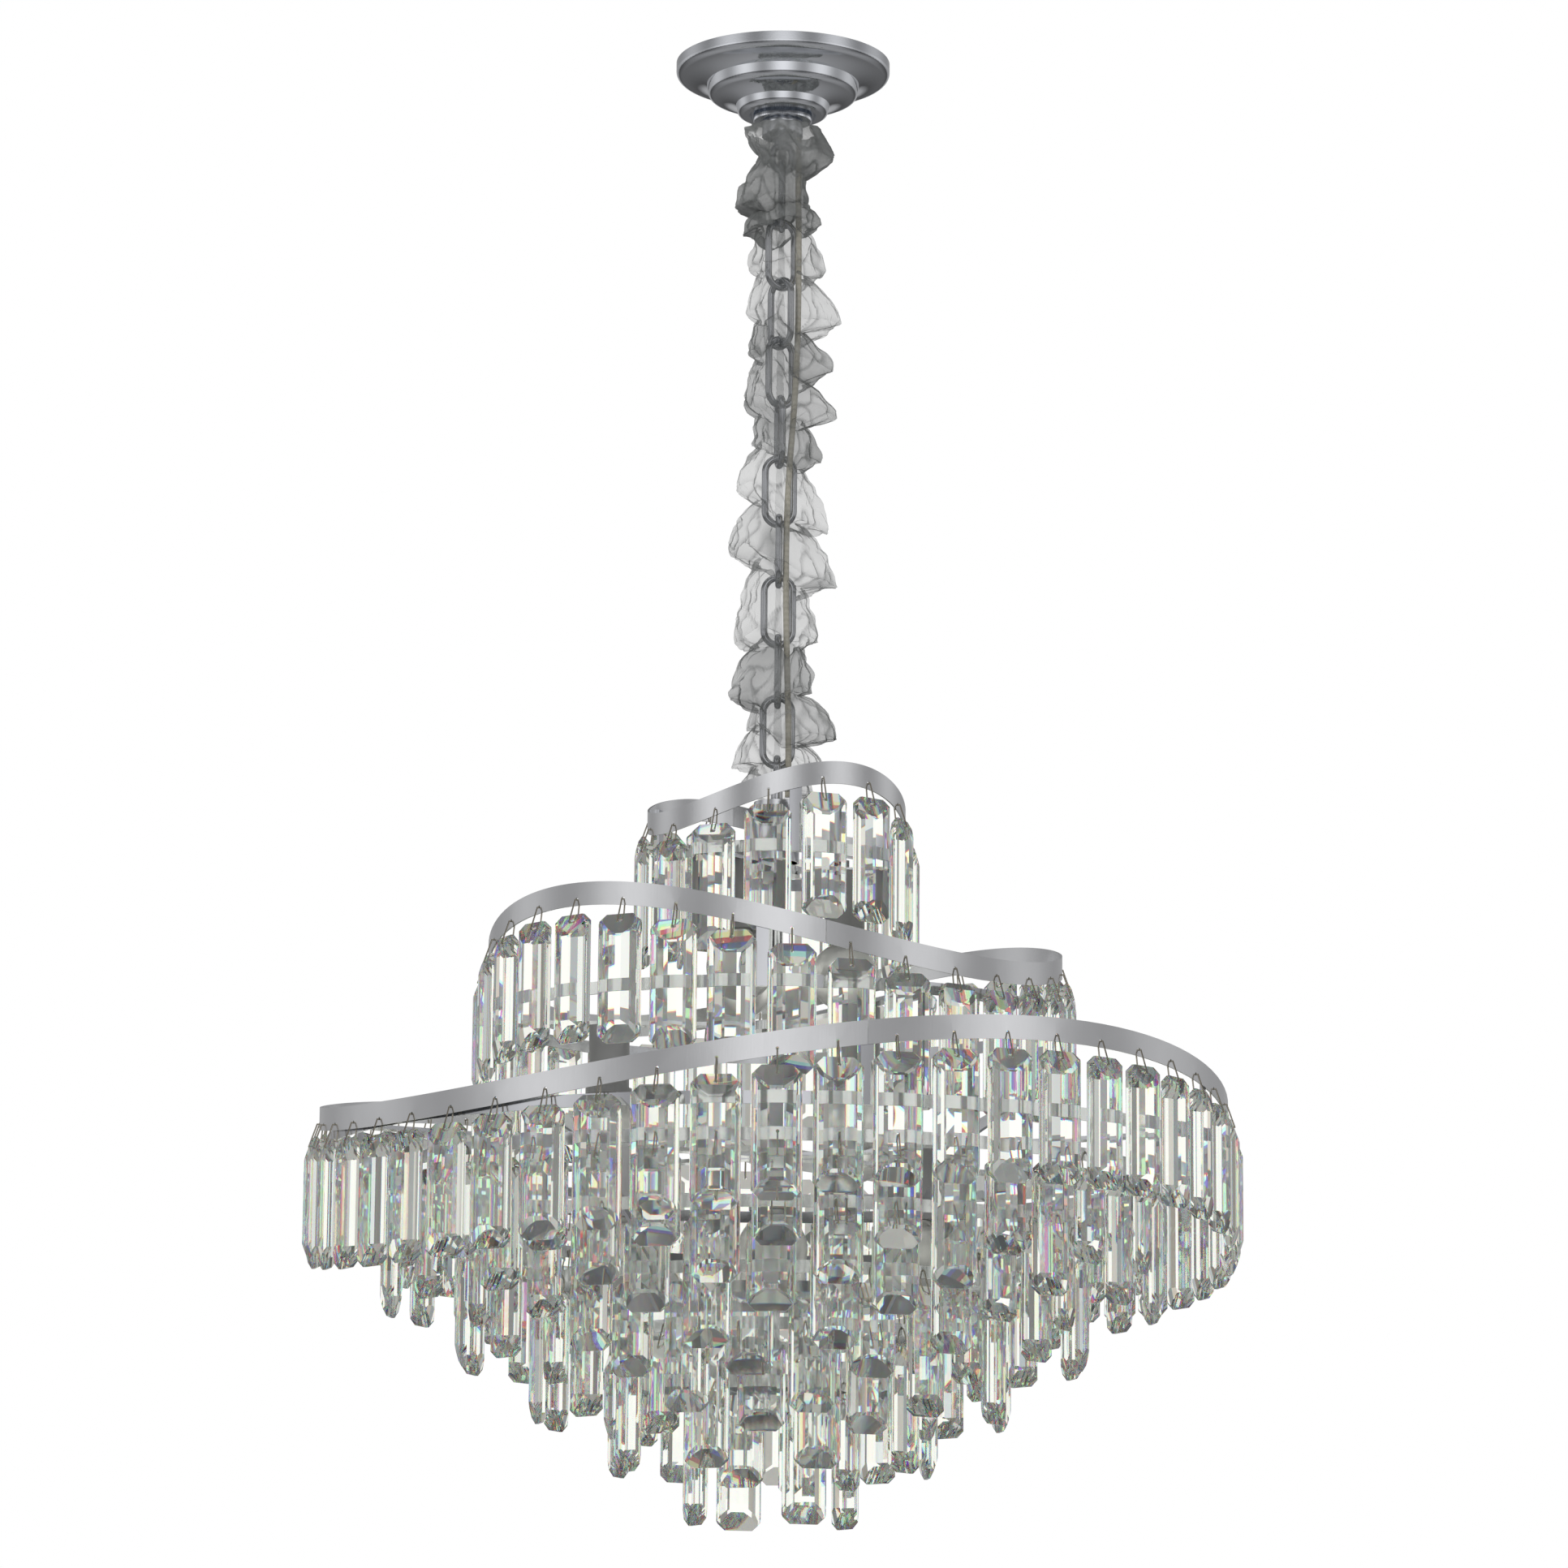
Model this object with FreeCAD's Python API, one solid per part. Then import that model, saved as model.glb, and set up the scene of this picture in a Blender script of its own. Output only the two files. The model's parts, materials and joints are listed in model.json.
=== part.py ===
import FreeCAD, Part
import math
import os
from collections import namedtuple

# Crystal chandelier: three wavy bands and five flat rings of cut drops, hung on a chain
# inside a gathered sleeve. Millimetres, +Z up. The origin is on the lamp's axis in the
# plane of the ceiling. The front is -Y, and azimuths run from the front towards +X.

V = FreeCAD.Vector
UP = V(0, 0, 1)

# ---------------------------------------------------------------- gaps and fits
RUNNING_GAP = 0.05          # a part that turns on another, on the radius
SEAT_GAP = 0.1              # fixed parts that bear on each other
SAME = 0.01                 # two sizes this close are one and the same
HANG_GAP = 0.3              # parts that hang or move against each other

# ---------------------------------------------------------------- ceiling rose
BRACKET_LENGTH = 124.0
BRACKET_WIDTH = 24.0
BRACKET_PLATE = 2.0
BRACKET_WEB = 56.0          # length of the lowered middle
BRACKET_DROP = 15.0         # from the ceiling to the web's underside
SCREW_SPACING = 100.0
SCREW_HOLE_R = 2.6

NIPPLE_R = 5.0
NIPPLE_BORE_R = 3.5
NIPPLE_ABOVE_WEB = 8.0
NIPPLE_IN_NECK = 14.0
NUT_FLATS = 17.0
NUT_HEIGHT = 5.0

CANOPY_SHEET = 1.0
CANOPY_RIM_R = 73.4
CANOPY_RIM_H = 10.3
CANOPY_MID_R = 52.3
CANOPY_MID_TOP = 14.5       # heights are measured down from the ceiling
CANOPY_MID_BOTTOM = 24.0
CANOPY_LOW_R = 32.0
CANOPY_LOW_TOP = 29.0
CANOPY_BOTTOM = 37.0
CANOPY_TAPER = 1.3          # how far each step's wall leans in
CANOPY_COVE = 1.6           # hollow of the mirror-like shoulders
CANOPY_ROUND = 4.2          # outside radius of each step's lower edge
SEAT_RECESS_R = 23.0
SEAT_RECESS_H = 3.0

RING_R = 20.0
RING_HEIGHT = 7.0
KNURL_COUNT = 72
KNURL_DEPTH = 0.7

NECK_R = 10.0
NECK_ABOVE_SEAT = 5.0       # how far the neck reaches into the canopy
COLLAR_R = 14.0
COLLAR_TOP = 42.0
COLLAR_HEIGHT = 10.0
LOOP_STEM_R = 5.0

TERMINAL_DEPTH = 12.0
TERMINAL_WIDTH = 17.0
TERMINAL_HEIGHT = 9.0
TERMINAL_PITCH = 5.0
TERMINAL_BORE_R = 1.9
TERMINAL_FROM_NUT = 2.0

# ---------------------------------------------------------------- chain, cable, sleeve
WIRE_R = 2.35
LINK_PITCH = 41.6
LINK_WIDTH = 24.0
LINK_COUNT = 10
EYE_WIDTH = 18.0            # the eyes above and below the chain, over their wire
EYE_LENGTH = 22.7
CHAIN_TOP = -73.4           # where the first link bears on the ceiling loop
# How far each link has turned out of its true quarter turn, from the top.
LINK_TWIST = [0.0, 25.0, 45.0, 35.0, 10.0, 0.0, 0.0, 0.0, 0.0, 0.0]

CABLE_R = 2.1
CABLE_ROUTE = [
    (11.2, -8.0, -55.0),
    (11.1, -7.5, -84.0),
    (11.7, -4.5, -122.0),
    (11.9, -0.5, -163.0),
    (11.5, -1.5, -205.0),
    (9.6, -4.8, -246.0),
    (6.6, -6.9, -287.0),
    (4.9, -6.3, -330.0),
    (5.0, -6.9, -374.0),
    (5.9, -6.4, -416.0),
    (7.2, -8.5, -455.0),
    (7.7, -9.5, -488.0),
    (7.5, -9.3, -514.8),
]
CABLE_BEND_SHARE = 0.45     # of the shorter run, used up by each bend

SLEEVE_WALL = 1.0
SLEEVE_FOLDS = 9
SLEEVE_FOLD_DEPTH = 1.5
SLEEVE_TWIST = 11.0         # degrees from one gather to the next
# Height, and how far the sleeve reaches to the left and right of the chain.
SLEEVE_GATHERS = [
    (-46.0, 26.5, 26.5),
    (-64.0, 21.5, 31.5),
    (-82.0, 22.5, 27.5),
    (-98.0, 28.5, 21.0),
    (-116.0, 24.0, 21.8),
    (-126.0, 17.6, 16.6),
    (-145.0, 20.0, 29.0),
    (-162.0, 22.3, 29.5),
    (-178.0, 21.8, 35.0),
    (-198.0, 15.8, 18.6),
    (-212.0, 20.0, 32.0),
    (-232.0, 23.0, 23.2),
    (-250.0, 19.2, 34.0),
    (-272.0, 19.0, 28.0),
    (-296.0, 27.0, 20.0),
    (-312.0, 20.5, 24.8),
    (-326.0, 19.0, 27.0),
    (-341.0, 31.0, 19.8),
    (-361.0, 26.0, 33.0),
    (-378.0, 19.5, 27.5),
    (-403.0, 27.5, 24.0),
    (-422.0, 19.4, 14.6),
    (-438.0, 28.5, 19.5),
    (-452.0, 28.0, 26.0),
    (-468.0, 22.0, 34.5),
    (-488.0, 27.5, 30.0),
    (-506.0, 27.0, 28.5),
    (-524.0, 27.5, 27.5),
]

# ---------------------------------------------------------------- centre of the lamp
EYE_STEM_R = 4.0
EYE_STEM_LENGTH = 17.0
CUP_R = 15.3
CUP_TOP = -517.0
CUP_HEIGHT = 41.0
CUP_WALL = 1.2
COUPLER_R = 8.0
COUPLER_HEIGHT = 18.0
STEM_R = 5.0
STEM_BORE_R = 3.6
STEM_BOTTOM = -927.0
HUB_R = 16.0
HUB_HEIGHT = 6.0
BOTTOM_HUB_TOP = -904.0
BOTTOM_HUB_HEIGHT = 12.0
CAP_NUT_R = 9.0
CAP_NUT_HEIGHT = 14.0

# ---------------------------------------------------------------- strips
STRIP_HEIGHT = 8.0
STRIP_THICK = 1.5
BAND_HEIGHT = 15.0
BAND_THICK = 1.2
BAND_POINTS = 72
SEAM_GAP = 0.3
HOLE_R = 1.1
BAND_HOLE_UP = 4.1          # from a band's lower edge to its holes
RING_HOLE_DOWN = 3.0        # from a flat ring's top edge to its holes

# top is the middle height of the wavy top edge, wave its rise and fall, crest the azimuth
# of one of its two high points. The struts stand clear of the hooks of the drops.
Band = namedtuple("Band", "radius top wave crest drops first_drop seam struts")
BANDS = {
    1: Band(86.0, -517.0, 14.5, 33.0, 15, -3.5, 200.5, (8.5, 128.5, 248.5)),
    2: Band(190.8, -618.7, 22.6, -45.0, 32, 3.2, 9.7, (-2.4, 87.6, 177.6, 267.6)),
    3: Band(300.0, -718.8, 23.4, 38.0, 51, 0.4, 11.0,
            (11.0, 67.5, 131.0, 187.5, 251.0, 307.5)),
}
# The wheels that carry the bands.
Frame = namedtuple("Frame", "radius top spokes first_spoke")
FRAMES = {
    1: Frame(80.0, -556.0, 3, 90.0),
    2: Frame(185.5, -661.0, 3, 30.0),
    3: Frame(295.0, -749.0, 6, 0.0),
}
# Flat rings of drops, by radius.
Ring = namedtuple("Ring", "top drops first_drop")
RINGS = {
    250: Ring(-766.0, 42, 0.6),
    200: Ring(-802.0, 32, -0.2),
    150: Ring(-838.0, 24, -5.4),
    100: Ring(-870.0, 18, -3.5),
    50: Ring(-903.0, 8, -21.4),
}
SPOKE_WIDTH = 12.0
SPOKE_THICK = 2.5
STRUT_WIDTH = 8.0
STRUT_THICK = 1.5
STRUT_OVERLAP = 10.0        # height of strut behind the band
RIB_COUNT = 6
RIB_START = 30.0
RIB_THICK = 2.5
RIB_DEPTH = 8.0
RIB_AT_HUB = 10.0           # depth where it meets the bottom hub
RIB_SEAT = 3.0              # flat length on each ring

# ---------------------------------------------------------------- drops and hooks
DROP_WIDTH = 31.0
DROP_LENGTH = 82.8
SHORT_DROP_LENGTH = 59.8
DROP_EDGE_HALF = 1.0        # half the thickness at the sides and at the two ends
DROP_BEVELS = [(1.5, 1.6), (4.0, 2.4), (5.5, 1.5)]   # width and rise, from the side in
DROP_END_CUT = 14.0         # height of the slanting facets at the ends
DROP_CORNER = 6.0
DROP_HOLE_DOWN = 5.0
DROP_HOLE_R = 1.1
DROP_OUTSET = 3.5           # of the drop's middle plane from its strip
DROP_UNEVEN = 3.0           # degrees that the drops hang turned out of line
UNEVEN_STEP = 137.5

HOOK_WIRE_R = 0.5
HOOK_HEIGHT = 15.3          # from the middle of the strip's hole down to the pins
HOOK_HALF_SPAN = 2.0        # half the wire's length through the strip
HOOK_LEG_CLEAR = 0.25       # between the legs and the drop's faces
HOOK_PIN = 1.9              # how far each end reaches into the drop

# ---------------------------------------------------------------- lamps
# Radius of the circle of lamps under each frame. There is one lamp under each spoke.
LAMP_CIRCLES = {1: 46.0, 2: 110.0, 3: 110.0}
HOLDER_R = 13.5
HOLDER_HEIGHT = 46.0
HOLDER_BORE_R = 7.6
HOLDER_BORE_DEPTH = 26.0
HOLDER_FLANGE_R = 15.5
HOLDER_FLANGE = 4.0
HOLDER_STUD_R = 3.0
HOLDER_STUD = 8.0
BULB_CAP_R = 7.3
BULB_CAP_LENGTH = 22.0
BULB_TOP_R = 7.0
BULB_NECK_R = 9.5
BULB_NECK_IN = 1.0          # of the neck into the ball
BULB_R = 22.5
BULB_BELOW_HOLDER = 47.0


# ================================================================ small helpers
def polar(radius, azimuth, z):
    turn = math.radians(azimuth)
    return V(radius * math.sin(turn), -radius * math.cos(turn), z)


def rod(radius, top, bottom, centre=(0.0, 0.0)):
    return Part.makeCylinder(radius, top - bottom, V(centre[0], centre[1], bottom), UP)


def tube(outer, inner, top, bottom):
    return rod(outer, top, bottom).cut(rod(inner, top + 1.0, bottom - 1.0))


def block(x, y, z):
    """A box between two limits on each axis."""
    return Part.makeBox(x[1] - x[0], y[1] - y[0], z[1] - z[0], V(x[0], y[0], z[0]))


def turned(shape, azimuth):
    """A copy turned round the lamp's axis."""
    copy = shape.copy()
    copy.rotate(V(0, 0, 0), UP, azimuth)
    return copy


def shifted(shape, shift):
    copy = shape.copy()
    copy.translate(shift)
    return copy


def revolved(points):
    """A solid of revolution from corners given as radius and height."""
    corners = [V(r, 0, z) for r, z in points]
    face = Part.Face(Part.makePolygon(corners + corners[:1]))
    return face.revolve(V(0, 0, 0), UP, 360)


def prism(corners, direction):
    return Part.Face(Part.makePolygon(corners + corners[:1])).extrude(direction)


def spread(count, start=0.0):
    return [start + 360.0 * k / count for k in range(count)]


def hex_nut(bore, top, height=NUT_HEIGHT):
    reach = NUT_FLATS / math.sqrt(3)
    corners = [polar(reach, a, top - height) for a in spread(6)]
    return prism(corners, V(0, 0, height)).cut(rod(bore, top + 1, top - height - 1))


def save(name, *solids):
    shape = solids[0] if len(solids) == 1 else Part.makeCompound(list(solids))
    for solid in shape.Solids:
        if not solid.isValid():
            raise ValueError("broken solid in " + name)
    shape.exportStep(os.path.join("parts", name + ".step"))
    print(f"{name}: {len(shape.Solids)} solids, {shape.Volume / 1000:.1f} cm3")


# ================================================================ ceiling rose
def ceiling_bracket():
    """A strap with raised ends that screw to the ceiling and a lowered web."""
    end = BRACKET_LENGTH / 2
    leg = BRACKET_WEB / 2
    plate = BRACKET_PLATE
    right = [
        (leg - plate, plate - BRACKET_DROP),
        (leg - plate, 0.0),
        (end, 0.0),
        (end, -plate),
        (leg, -plate),
        (leg, -BRACKET_DROP),
    ]
    left = [(-x, z) for x, z in reversed(right)]
    corners = [V(x, -BRACKET_WIDTH / 2, z) for x, z in right + left]
    strap = prism(corners, V(0, BRACKET_WIDTH, 0))
    holes = [rod(SCREW_HOLE_R, 1, -BRACKET_DROP - 1, (x, 0))
             for x in (-SCREW_SPACING / 2, SCREW_SPACING / 2)]
    holes.append(rod(NIPPLE_R + SEAT_GAP, 1, -BRACKET_DROP - 1))
    return strap.cut(Part.makeCompound(holes))


def bracket_nuts():
    web_top = BRACKET_PLATE - BRACKET_DROP
    bore = NIPPLE_R + RUNNING_GAP
    above = hex_nut(bore, web_top + SEAT_GAP + NUT_HEIGHT)
    below = hex_nut(bore, -BRACKET_DROP - SEAT_GAP)
    return above, below


def canopy_side(inset):
    """The stepped side of the canopy, moved inwards by the sheet's thickness."""
    corners = [
        (CANOPY_RIM_R, 0.0),
        (CANOPY_RIM_R, -CANOPY_RIM_H),
        (CANOPY_MID_R, -CANOPY_MID_TOP),
        (CANOPY_MID_R - CANOPY_TAPER, -CANOPY_MID_BOTTOM),
        (CANOPY_LOW_R, -CANOPY_LOW_TOP),
        (CANOPY_LOW_R - CANOPY_TAPER, -CANOPY_BOTTOM),
    ]
    points = [V(r - inset, 0, z + inset) for r, z in corners]
    points[0].z = 0.0
    edges = [
        Part.makeLine(points[0], points[1]),
        cove(points[1], points[2]),
        Part.makeLine(points[2], points[3]),
        cove(points[3], points[4]),
        Part.makeLine(points[4], points[5]),
    ]
    recess = [
        points[5],
        V(SEAT_RECESS_R + inset, 0, inset - CANOPY_BOTTOM),
        V(SEAT_RECESS_R + inset, 0, inset + SEAT_RECESS_H - CANOPY_BOTTOM),
        V(NECK_R + HANG_GAP, 0, inset + SEAT_RECESS_H - CANOPY_BOTTOM),
    ]
    edges += [Part.makeLine(a, b) for a, b in zip(recess, recess[1:])]
    return edges, points[0], recess[-1]


def cove(start, end):
    """A hollow shoulder between two steps."""
    middle = (start + end) * 0.5 + V(CANOPY_COVE * 0.25, 0, CANOPY_COVE)
    return Part.Arc(start, middle, end).toShape()


def canopy():
    outside, rim_outside, hole_outside = canopy_side(0.0)
    inside, rim_inside, hole_inside = canopy_side(CANOPY_SHEET)
    ends = [Part.makeLine(rim_outside, rim_inside), Part.makeLine(hole_outside, hole_inside)]
    wire = Part.Wire(Part.__sortEdges__(outside + inside + ends))
    shell = Part.Face(wire).revolve(V(0, 0, 0), UP, 360)
    shell = shell.makeFillet(CANOPY_ROUND, step_edges(shell, 0.0))
    return shell.makeFillet(CANOPY_ROUND - CANOPY_SHEET, step_edges(shell, CANOPY_SHEET))


def step_edges(shell, inset):
    """The round edges at the foot of each step, on the outside or the inside."""
    feet = [
        (CANOPY_RIM_R, CANOPY_RIM_H),
        (CANOPY_MID_R - CANOPY_TAPER, CANOPY_MID_BOTTOM),
        (CANOPY_LOW_R - CANOPY_TAPER, CANOPY_BOTTOM),
    ]
    return [edge for edge in shell.Edges for radius, down in feet
            if edge_circles_at(edge, radius - inset, inset - down)]


def edge_circles_at(edge, radius, z):
    circle = edge.Curve
    if not isinstance(circle, Part.Circle):
        return False
    return abs(circle.Radius - radius) < SAME and abs(circle.Center.z - z) < SAME


def lock_ring():
    """The knurled ring that holds the canopy up."""
    top = SEAT_RECESS_H - CANOPY_BOTTOM - SEAT_GAP
    bottom = top - RING_HEIGHT
    corners = []
    for azimuth in spread(KNURL_COUNT):
        corners.append(polar(RING_R, azimuth, bottom))
        corners.append(polar(RING_R - KNURL_DEPTH, azimuth + 180.0 / KNURL_COUNT, bottom))
    bore = rod(NECK_R + RUNNING_GAP, top + 1, bottom - 1)
    return prism(corners, V(0, 0, RING_HEIGHT)).cut(bore)


def link_path(length, width, z_top):
    """The centre line of a link in the X-Z plane, as one closed wire."""
    bend = width / 2 - WIRE_R
    high = z_top - WIRE_R - bend
    low = z_top - length + WIRE_R + bend
    right_top = V(bend, 0, high)
    right_low = V(bend, 0, low)
    left_low = V(-bend, 0, low)
    left_top = V(-bend, 0, high)
    edges = [
        Part.makeLine(right_top, right_low),
        Part.Arc(right_low, V(0, 0, low - bend), left_low).toShape(),
        Part.makeLine(left_low, left_top),
        Part.Arc(left_top, V(0, 0, high + bend), right_top).toShape(),
    ]
    return Part.Wire(edges), right_top


def wire_link(length, width, z_top):
    path, start = link_path(length, width, z_top)
    section = Part.Wire(Part.makeCircle(WIRE_R, start, UP))
    return path.makePipeShell([section], True, False)


def neck_top():
    return SEAT_RECESS_H + NECK_ABOVE_SEAT - CANOPY_BOTTOM


def ceiling_loop():
    """Threaded neck, collar and a loop, all one casting on the nipple."""
    neck = rod(NECK_R, neck_top(), -COLLAR_TOP)
    collar_bottom = -COLLAR_TOP - COLLAR_HEIGHT
    collar = rod(COLLAR_R, -COLLAR_TOP, collar_bottom)
    eye_top = CHAIN_TOP - HANG_GAP / 2 - 2 * WIRE_R + EYE_LENGTH
    stem = rod(LOOP_STEM_R, collar_bottom, eye_top - WIRE_R)
    eye = wire_link(EYE_LENGTH, EYE_WIDTH, eye_top)
    body = neck.fuse([collar, stem, eye]).removeSplitter()
    return body.cut(rod(NIPPLE_R + RUNNING_GAP, 0, neck_top() - NIPPLE_IN_NECK - SEAT_GAP))


def canopy_nipple():
    top = BRACKET_PLATE - BRACKET_DROP + NIPPLE_ABOVE_WEB
    return tube(NIPPLE_R, NIPPLE_BORE_R, top, neck_top() - NIPPLE_IN_NECK)


def terminal_block():
    """A three-way connector fixed under the bracket's web, beside the nut."""
    top = -BRACKET_DROP - SEAT_GAP
    near = -NUT_FLATS / math.sqrt(3) - TERMINAL_FROM_NUT
    far = near - TERMINAL_DEPTH
    half = TERMINAL_WIDTH / 2
    body = block((far, near), (-half, half), (top - TERMINAL_HEIGHT, top))
    bores = []
    for row in (-1, 0, 1):
        start = V(far - 1, row * TERMINAL_PITCH, top - TERMINAL_HEIGHT / 2)
        way = V(1, 0, 0)
        bores.append(Part.makeCylinder(TERMINAL_BORE_R, TERMINAL_DEPTH + 2, start, way))
    return body.cut(Part.makeCompound(bores))


# ================================================================ chain, cable, sleeve
def chain_links():
    """Ten links, each a quarter turn from the last but for the chain's own twist."""
    reach = LINK_PITCH + 4 * WIRE_R + HANG_GAP
    links = []
    for k in range(LINK_COUNT):
        top = CHAIN_TOP - k * LINK_PITCH + 2 * WIRE_R + HANG_GAP / 2
        link = wire_link(reach, LINK_WIDTH, top)
        links.append(turned(link, 90.0 * ((k + 1) % 2) + LINK_TWIST[k]))
    return links


def bent_path(points):
    """Straight runs joined by tangent arcs; also the list of the arcs' radii."""
    corners = [V(*p) for p in points]
    edges = []
    radii = []
    here = corners[0]
    for before, corner, after in zip(corners, corners[1:], corners[2:]):
        back = before - corner
        on = after - corner
        cut = CABLE_BEND_SHARE * min(back.Length, on.Length)
        turn = math.pi - back.getAngle(on)
        radii.append(cut / math.tan(turn / 2))
        start = corner + back.normalize() * cut
        end = corner + on.normalize() * cut
        inwards = (start + end) * 0.5 - corner
        depth = math.hypot(radii[-1], cut) - radii[-1]
        middle = corner + inwards.normalize() * depth
        edges.append(Part.LineSegment(here, start).toShape())
        edges.append(Part.Arc(start, middle, end).toShape())
        here = end
    edges.append(Part.LineSegment(here, corners[-1]).toShape())
    return Part.Wire(edges), radii


def supply_cable():
    path, radii = bent_path(CABLE_ROUTE)
    way = V(*CABLE_ROUTE[1]) - V(*CABLE_ROUTE[0])
    section = Part.Wire(Part.makeCircle(CABLE_R, V(*CABLE_ROUTE[0]), way))
    cable = path.makePipeShell([section], True, False)
    expected = path.Length * math.pi * CABLE_R ** 2
    print("cable bend radii", [round(r) for r in radii])
    print(f"cable length {path.Length:.1f}, volume share {cable.Volume / expected:.4f}")
    return cable


def sleeve_section(gather, order, inset):
    """One gathered outline of the cloth tube, with its folds turned a little further."""
    z, left, right = gather
    half = (left + right) / 2
    middle = (right - left) / 2
    points = []
    for k in range(2 * SLEEVE_FOLDS):
        angle = math.radians(180.0 * k / SLEEVE_FOLDS + SLEEVE_TWIST * order)
        reach = half - SLEEVE_FOLD_DEPTH * (k % 2) - inset
        points.append(V(middle + reach * math.cos(angle), reach * math.sin(angle), z))
    return Part.makePolygon(points + points[:1])


def chain_sleeve():
    outer = [sleeve_section(g, k, 0.0) for k, g in enumerate(SLEEVE_GATHERS)]
    inner = [sleeve_section(g, k, SLEEVE_WALL) for k, g in enumerate(SLEEVE_GATHERS)]
    skin = Part.makeLoft(outer, True, True)
    return skin.cut(Part.makeLoft(inner, True, True))


# ================================================================ centre of the lamp
def chain_bottom():
    return CHAIN_TOP - LINK_COUNT * LINK_PITCH


def body_eye():
    """The eye under the last link, with the stem that screws into the coupler."""
    top = chain_bottom() + 2 * WIRE_R + HANG_GAP / 2
    eye = turned(wire_link(EYE_LENGTH, EYE_WIDTH, top), 90.0)
    low = top - EYE_LENGTH
    stem = rod(EYE_STEM_R, low + WIRE_R, low - EYE_STEM_LENGTH)
    return eye.fuse(stem).removeSplitter()


def body_cup():
    hole = EYE_STEM_R + SEAT_GAP
    low = CUP_TOP - CUP_HEIGHT
    return revolved([
        (hole, CUP_TOP),
        (CUP_R, CUP_TOP),
        (CUP_R, low),
        (CUP_R - CUP_WALL, low),
        (CUP_R - CUP_WALL, CUP_TOP - CUP_WALL),
        (hole, CUP_TOP - CUP_WALL),
    ])


def coupler_top():
    return CUP_TOP - CUP_WALL - SEAT_GAP


def eye_stem_bottom():
    return chain_bottom() + 2 * WIRE_R + HANG_GAP / 2 - EYE_LENGTH - EYE_STEM_LENGTH


def centre_stem():
    return tube(STEM_R, STEM_BORE_R, eye_stem_bottom() - SEAT_GAP, STEM_BOTTOM)


def stem_coupler():
    """A round socket that joins the eye's stem to the centre stem."""
    top = coupler_top()
    bottom = top - COUPLER_HEIGHT
    body = rod(COUPLER_R, top, bottom)
    body = body.cut(rod(EYE_STEM_R + RUNNING_GAP, top + 1, eye_stem_bottom() - SEAT_GAP / 2))
    return body.cut(rod(STEM_R + RUNNING_GAP, eye_stem_bottom() - SEAT_GAP / 2, bottom - 1))


def hub_top(tier):
    return FRAMES[tier].top - STRIP_HEIGHT + HUB_HEIGHT / 2


def stem_nuts():
    bore = STEM_R + RUNNING_GAP
    nuts = []
    for tier in FRAMES:
        nuts.append(hex_nut(bore, hub_top(tier) + SEAT_GAP + NUT_HEIGHT))
        nuts.append(hex_nut(bore, hub_top(tier) - HUB_HEIGHT - SEAT_GAP))
    nuts.append(hex_nut(bore, BOTTOM_HUB_TOP + SEAT_GAP + NUT_HEIGHT))
    return nuts


def bottom_hub():
    return tube(HUB_R, STEM_R + SEAT_GAP, BOTTOM_HUB_TOP, BOTTOM_HUB_TOP - BOTTOM_HUB_HEIGHT)


def cap_nut():
    """The rounded blind nut that closes the stem."""
    top = BOTTOM_HUB_TOP - BOTTOM_HUB_HEIGHT - SEAT_GAP
    straight = top - CAP_NUT_HEIGHT + CAP_NUT_R
    body = rod(CAP_NUT_R, top, straight).fuse(Part.makeSphere(CAP_NUT_R, V(0, 0, straight)))
    body = body.cut(rod(2 * CAP_NUT_R, top + 2 * CAP_NUT_R, top))
    return body.cut(rod(STEM_R + RUNNING_GAP, top + 1, STEM_BOTTOM - SEAT_GAP))


# ================================================================ bands, rings, frames
def band_top(tier, azimuth):
    band = BANDS[tier]
    return band.top + band.wave * math.cos(math.radians(2 * (azimuth - band.crest)))


def drill(strip, radius, holes):
    """Radial holes through a strip, given as azimuth and height."""
    tools = []
    for azimuth, z in holes:
        start = polar(radius - STRIP_THICK, azimuth, z)
        way = polar(1.0, azimuth, 0.0)
        tools.append(Part.makeCylinder(HOLE_R, 2 * STRIP_THICK, start, way))
    return strip.cut(Part.makeCompound(tools))


def band_hole(tier, azimuth):
    return band_top(tier, azimuth) - BAND_HEIGHT + BAND_HOLE_UP


def band_edge(tier, radius, down):
    """A wavy line round the band from one side of its seam to the other."""
    half_gap = math.degrees(SEAM_GAP / 2 / radius)
    span = 360.0 - 2 * half_gap
    points = []
    for k in range(BAND_POINTS + 1):
        azimuth = BANDS[tier].seam + half_gap + span * k / BAND_POINTS
        points.append(polar(radius, azimuth, band_top(tier, azimuth) - down))
    curve = Part.BSplineCurve()
    curve.interpolate(points)
    return curve.toShape()


def wavy_band(tier):
    """A strip bent into a hoop with a wavy edge, its ends meeting at the seam."""
    outside = BANDS[tier].radius + BAND_THICK / 2
    inside = BANDS[tier].radius - BAND_THICK / 2
    outer_top = band_edge(tier, outside, 0.0)
    outer_low = band_edge(tier, outside, BAND_HEIGHT)
    inner_top = band_edge(tier, inside, 0.0)
    inner_low = band_edge(tier, inside, BAND_HEIGHT)
    pairs = [(outer_top, outer_low), (inner_top, inner_low),
             (outer_top, inner_top), (outer_low, inner_low)]
    faces = [Part.makeRuledSurface(a, b) for a, b in pairs]
    for at in (0, -1):
        corners = [line.Vertexes[at].Point for line in
                   (outer_top, outer_low, inner_low, inner_top)]
        faces.append(Part.Face(Part.makePolygon(corners + corners[:1])))
    shell = Part.makeShell(faces)
    shell.sewShape()
    strip = Part.makeSolid(shell)
    if strip.Volume < 0:
        strip.reverse()
    azimuths = spread(BANDS[tier].drops, BANDS[tier].first_drop)
    return drill(strip, BANDS[tier].radius, [(a, band_hole(tier, a)) for a in azimuths])


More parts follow.
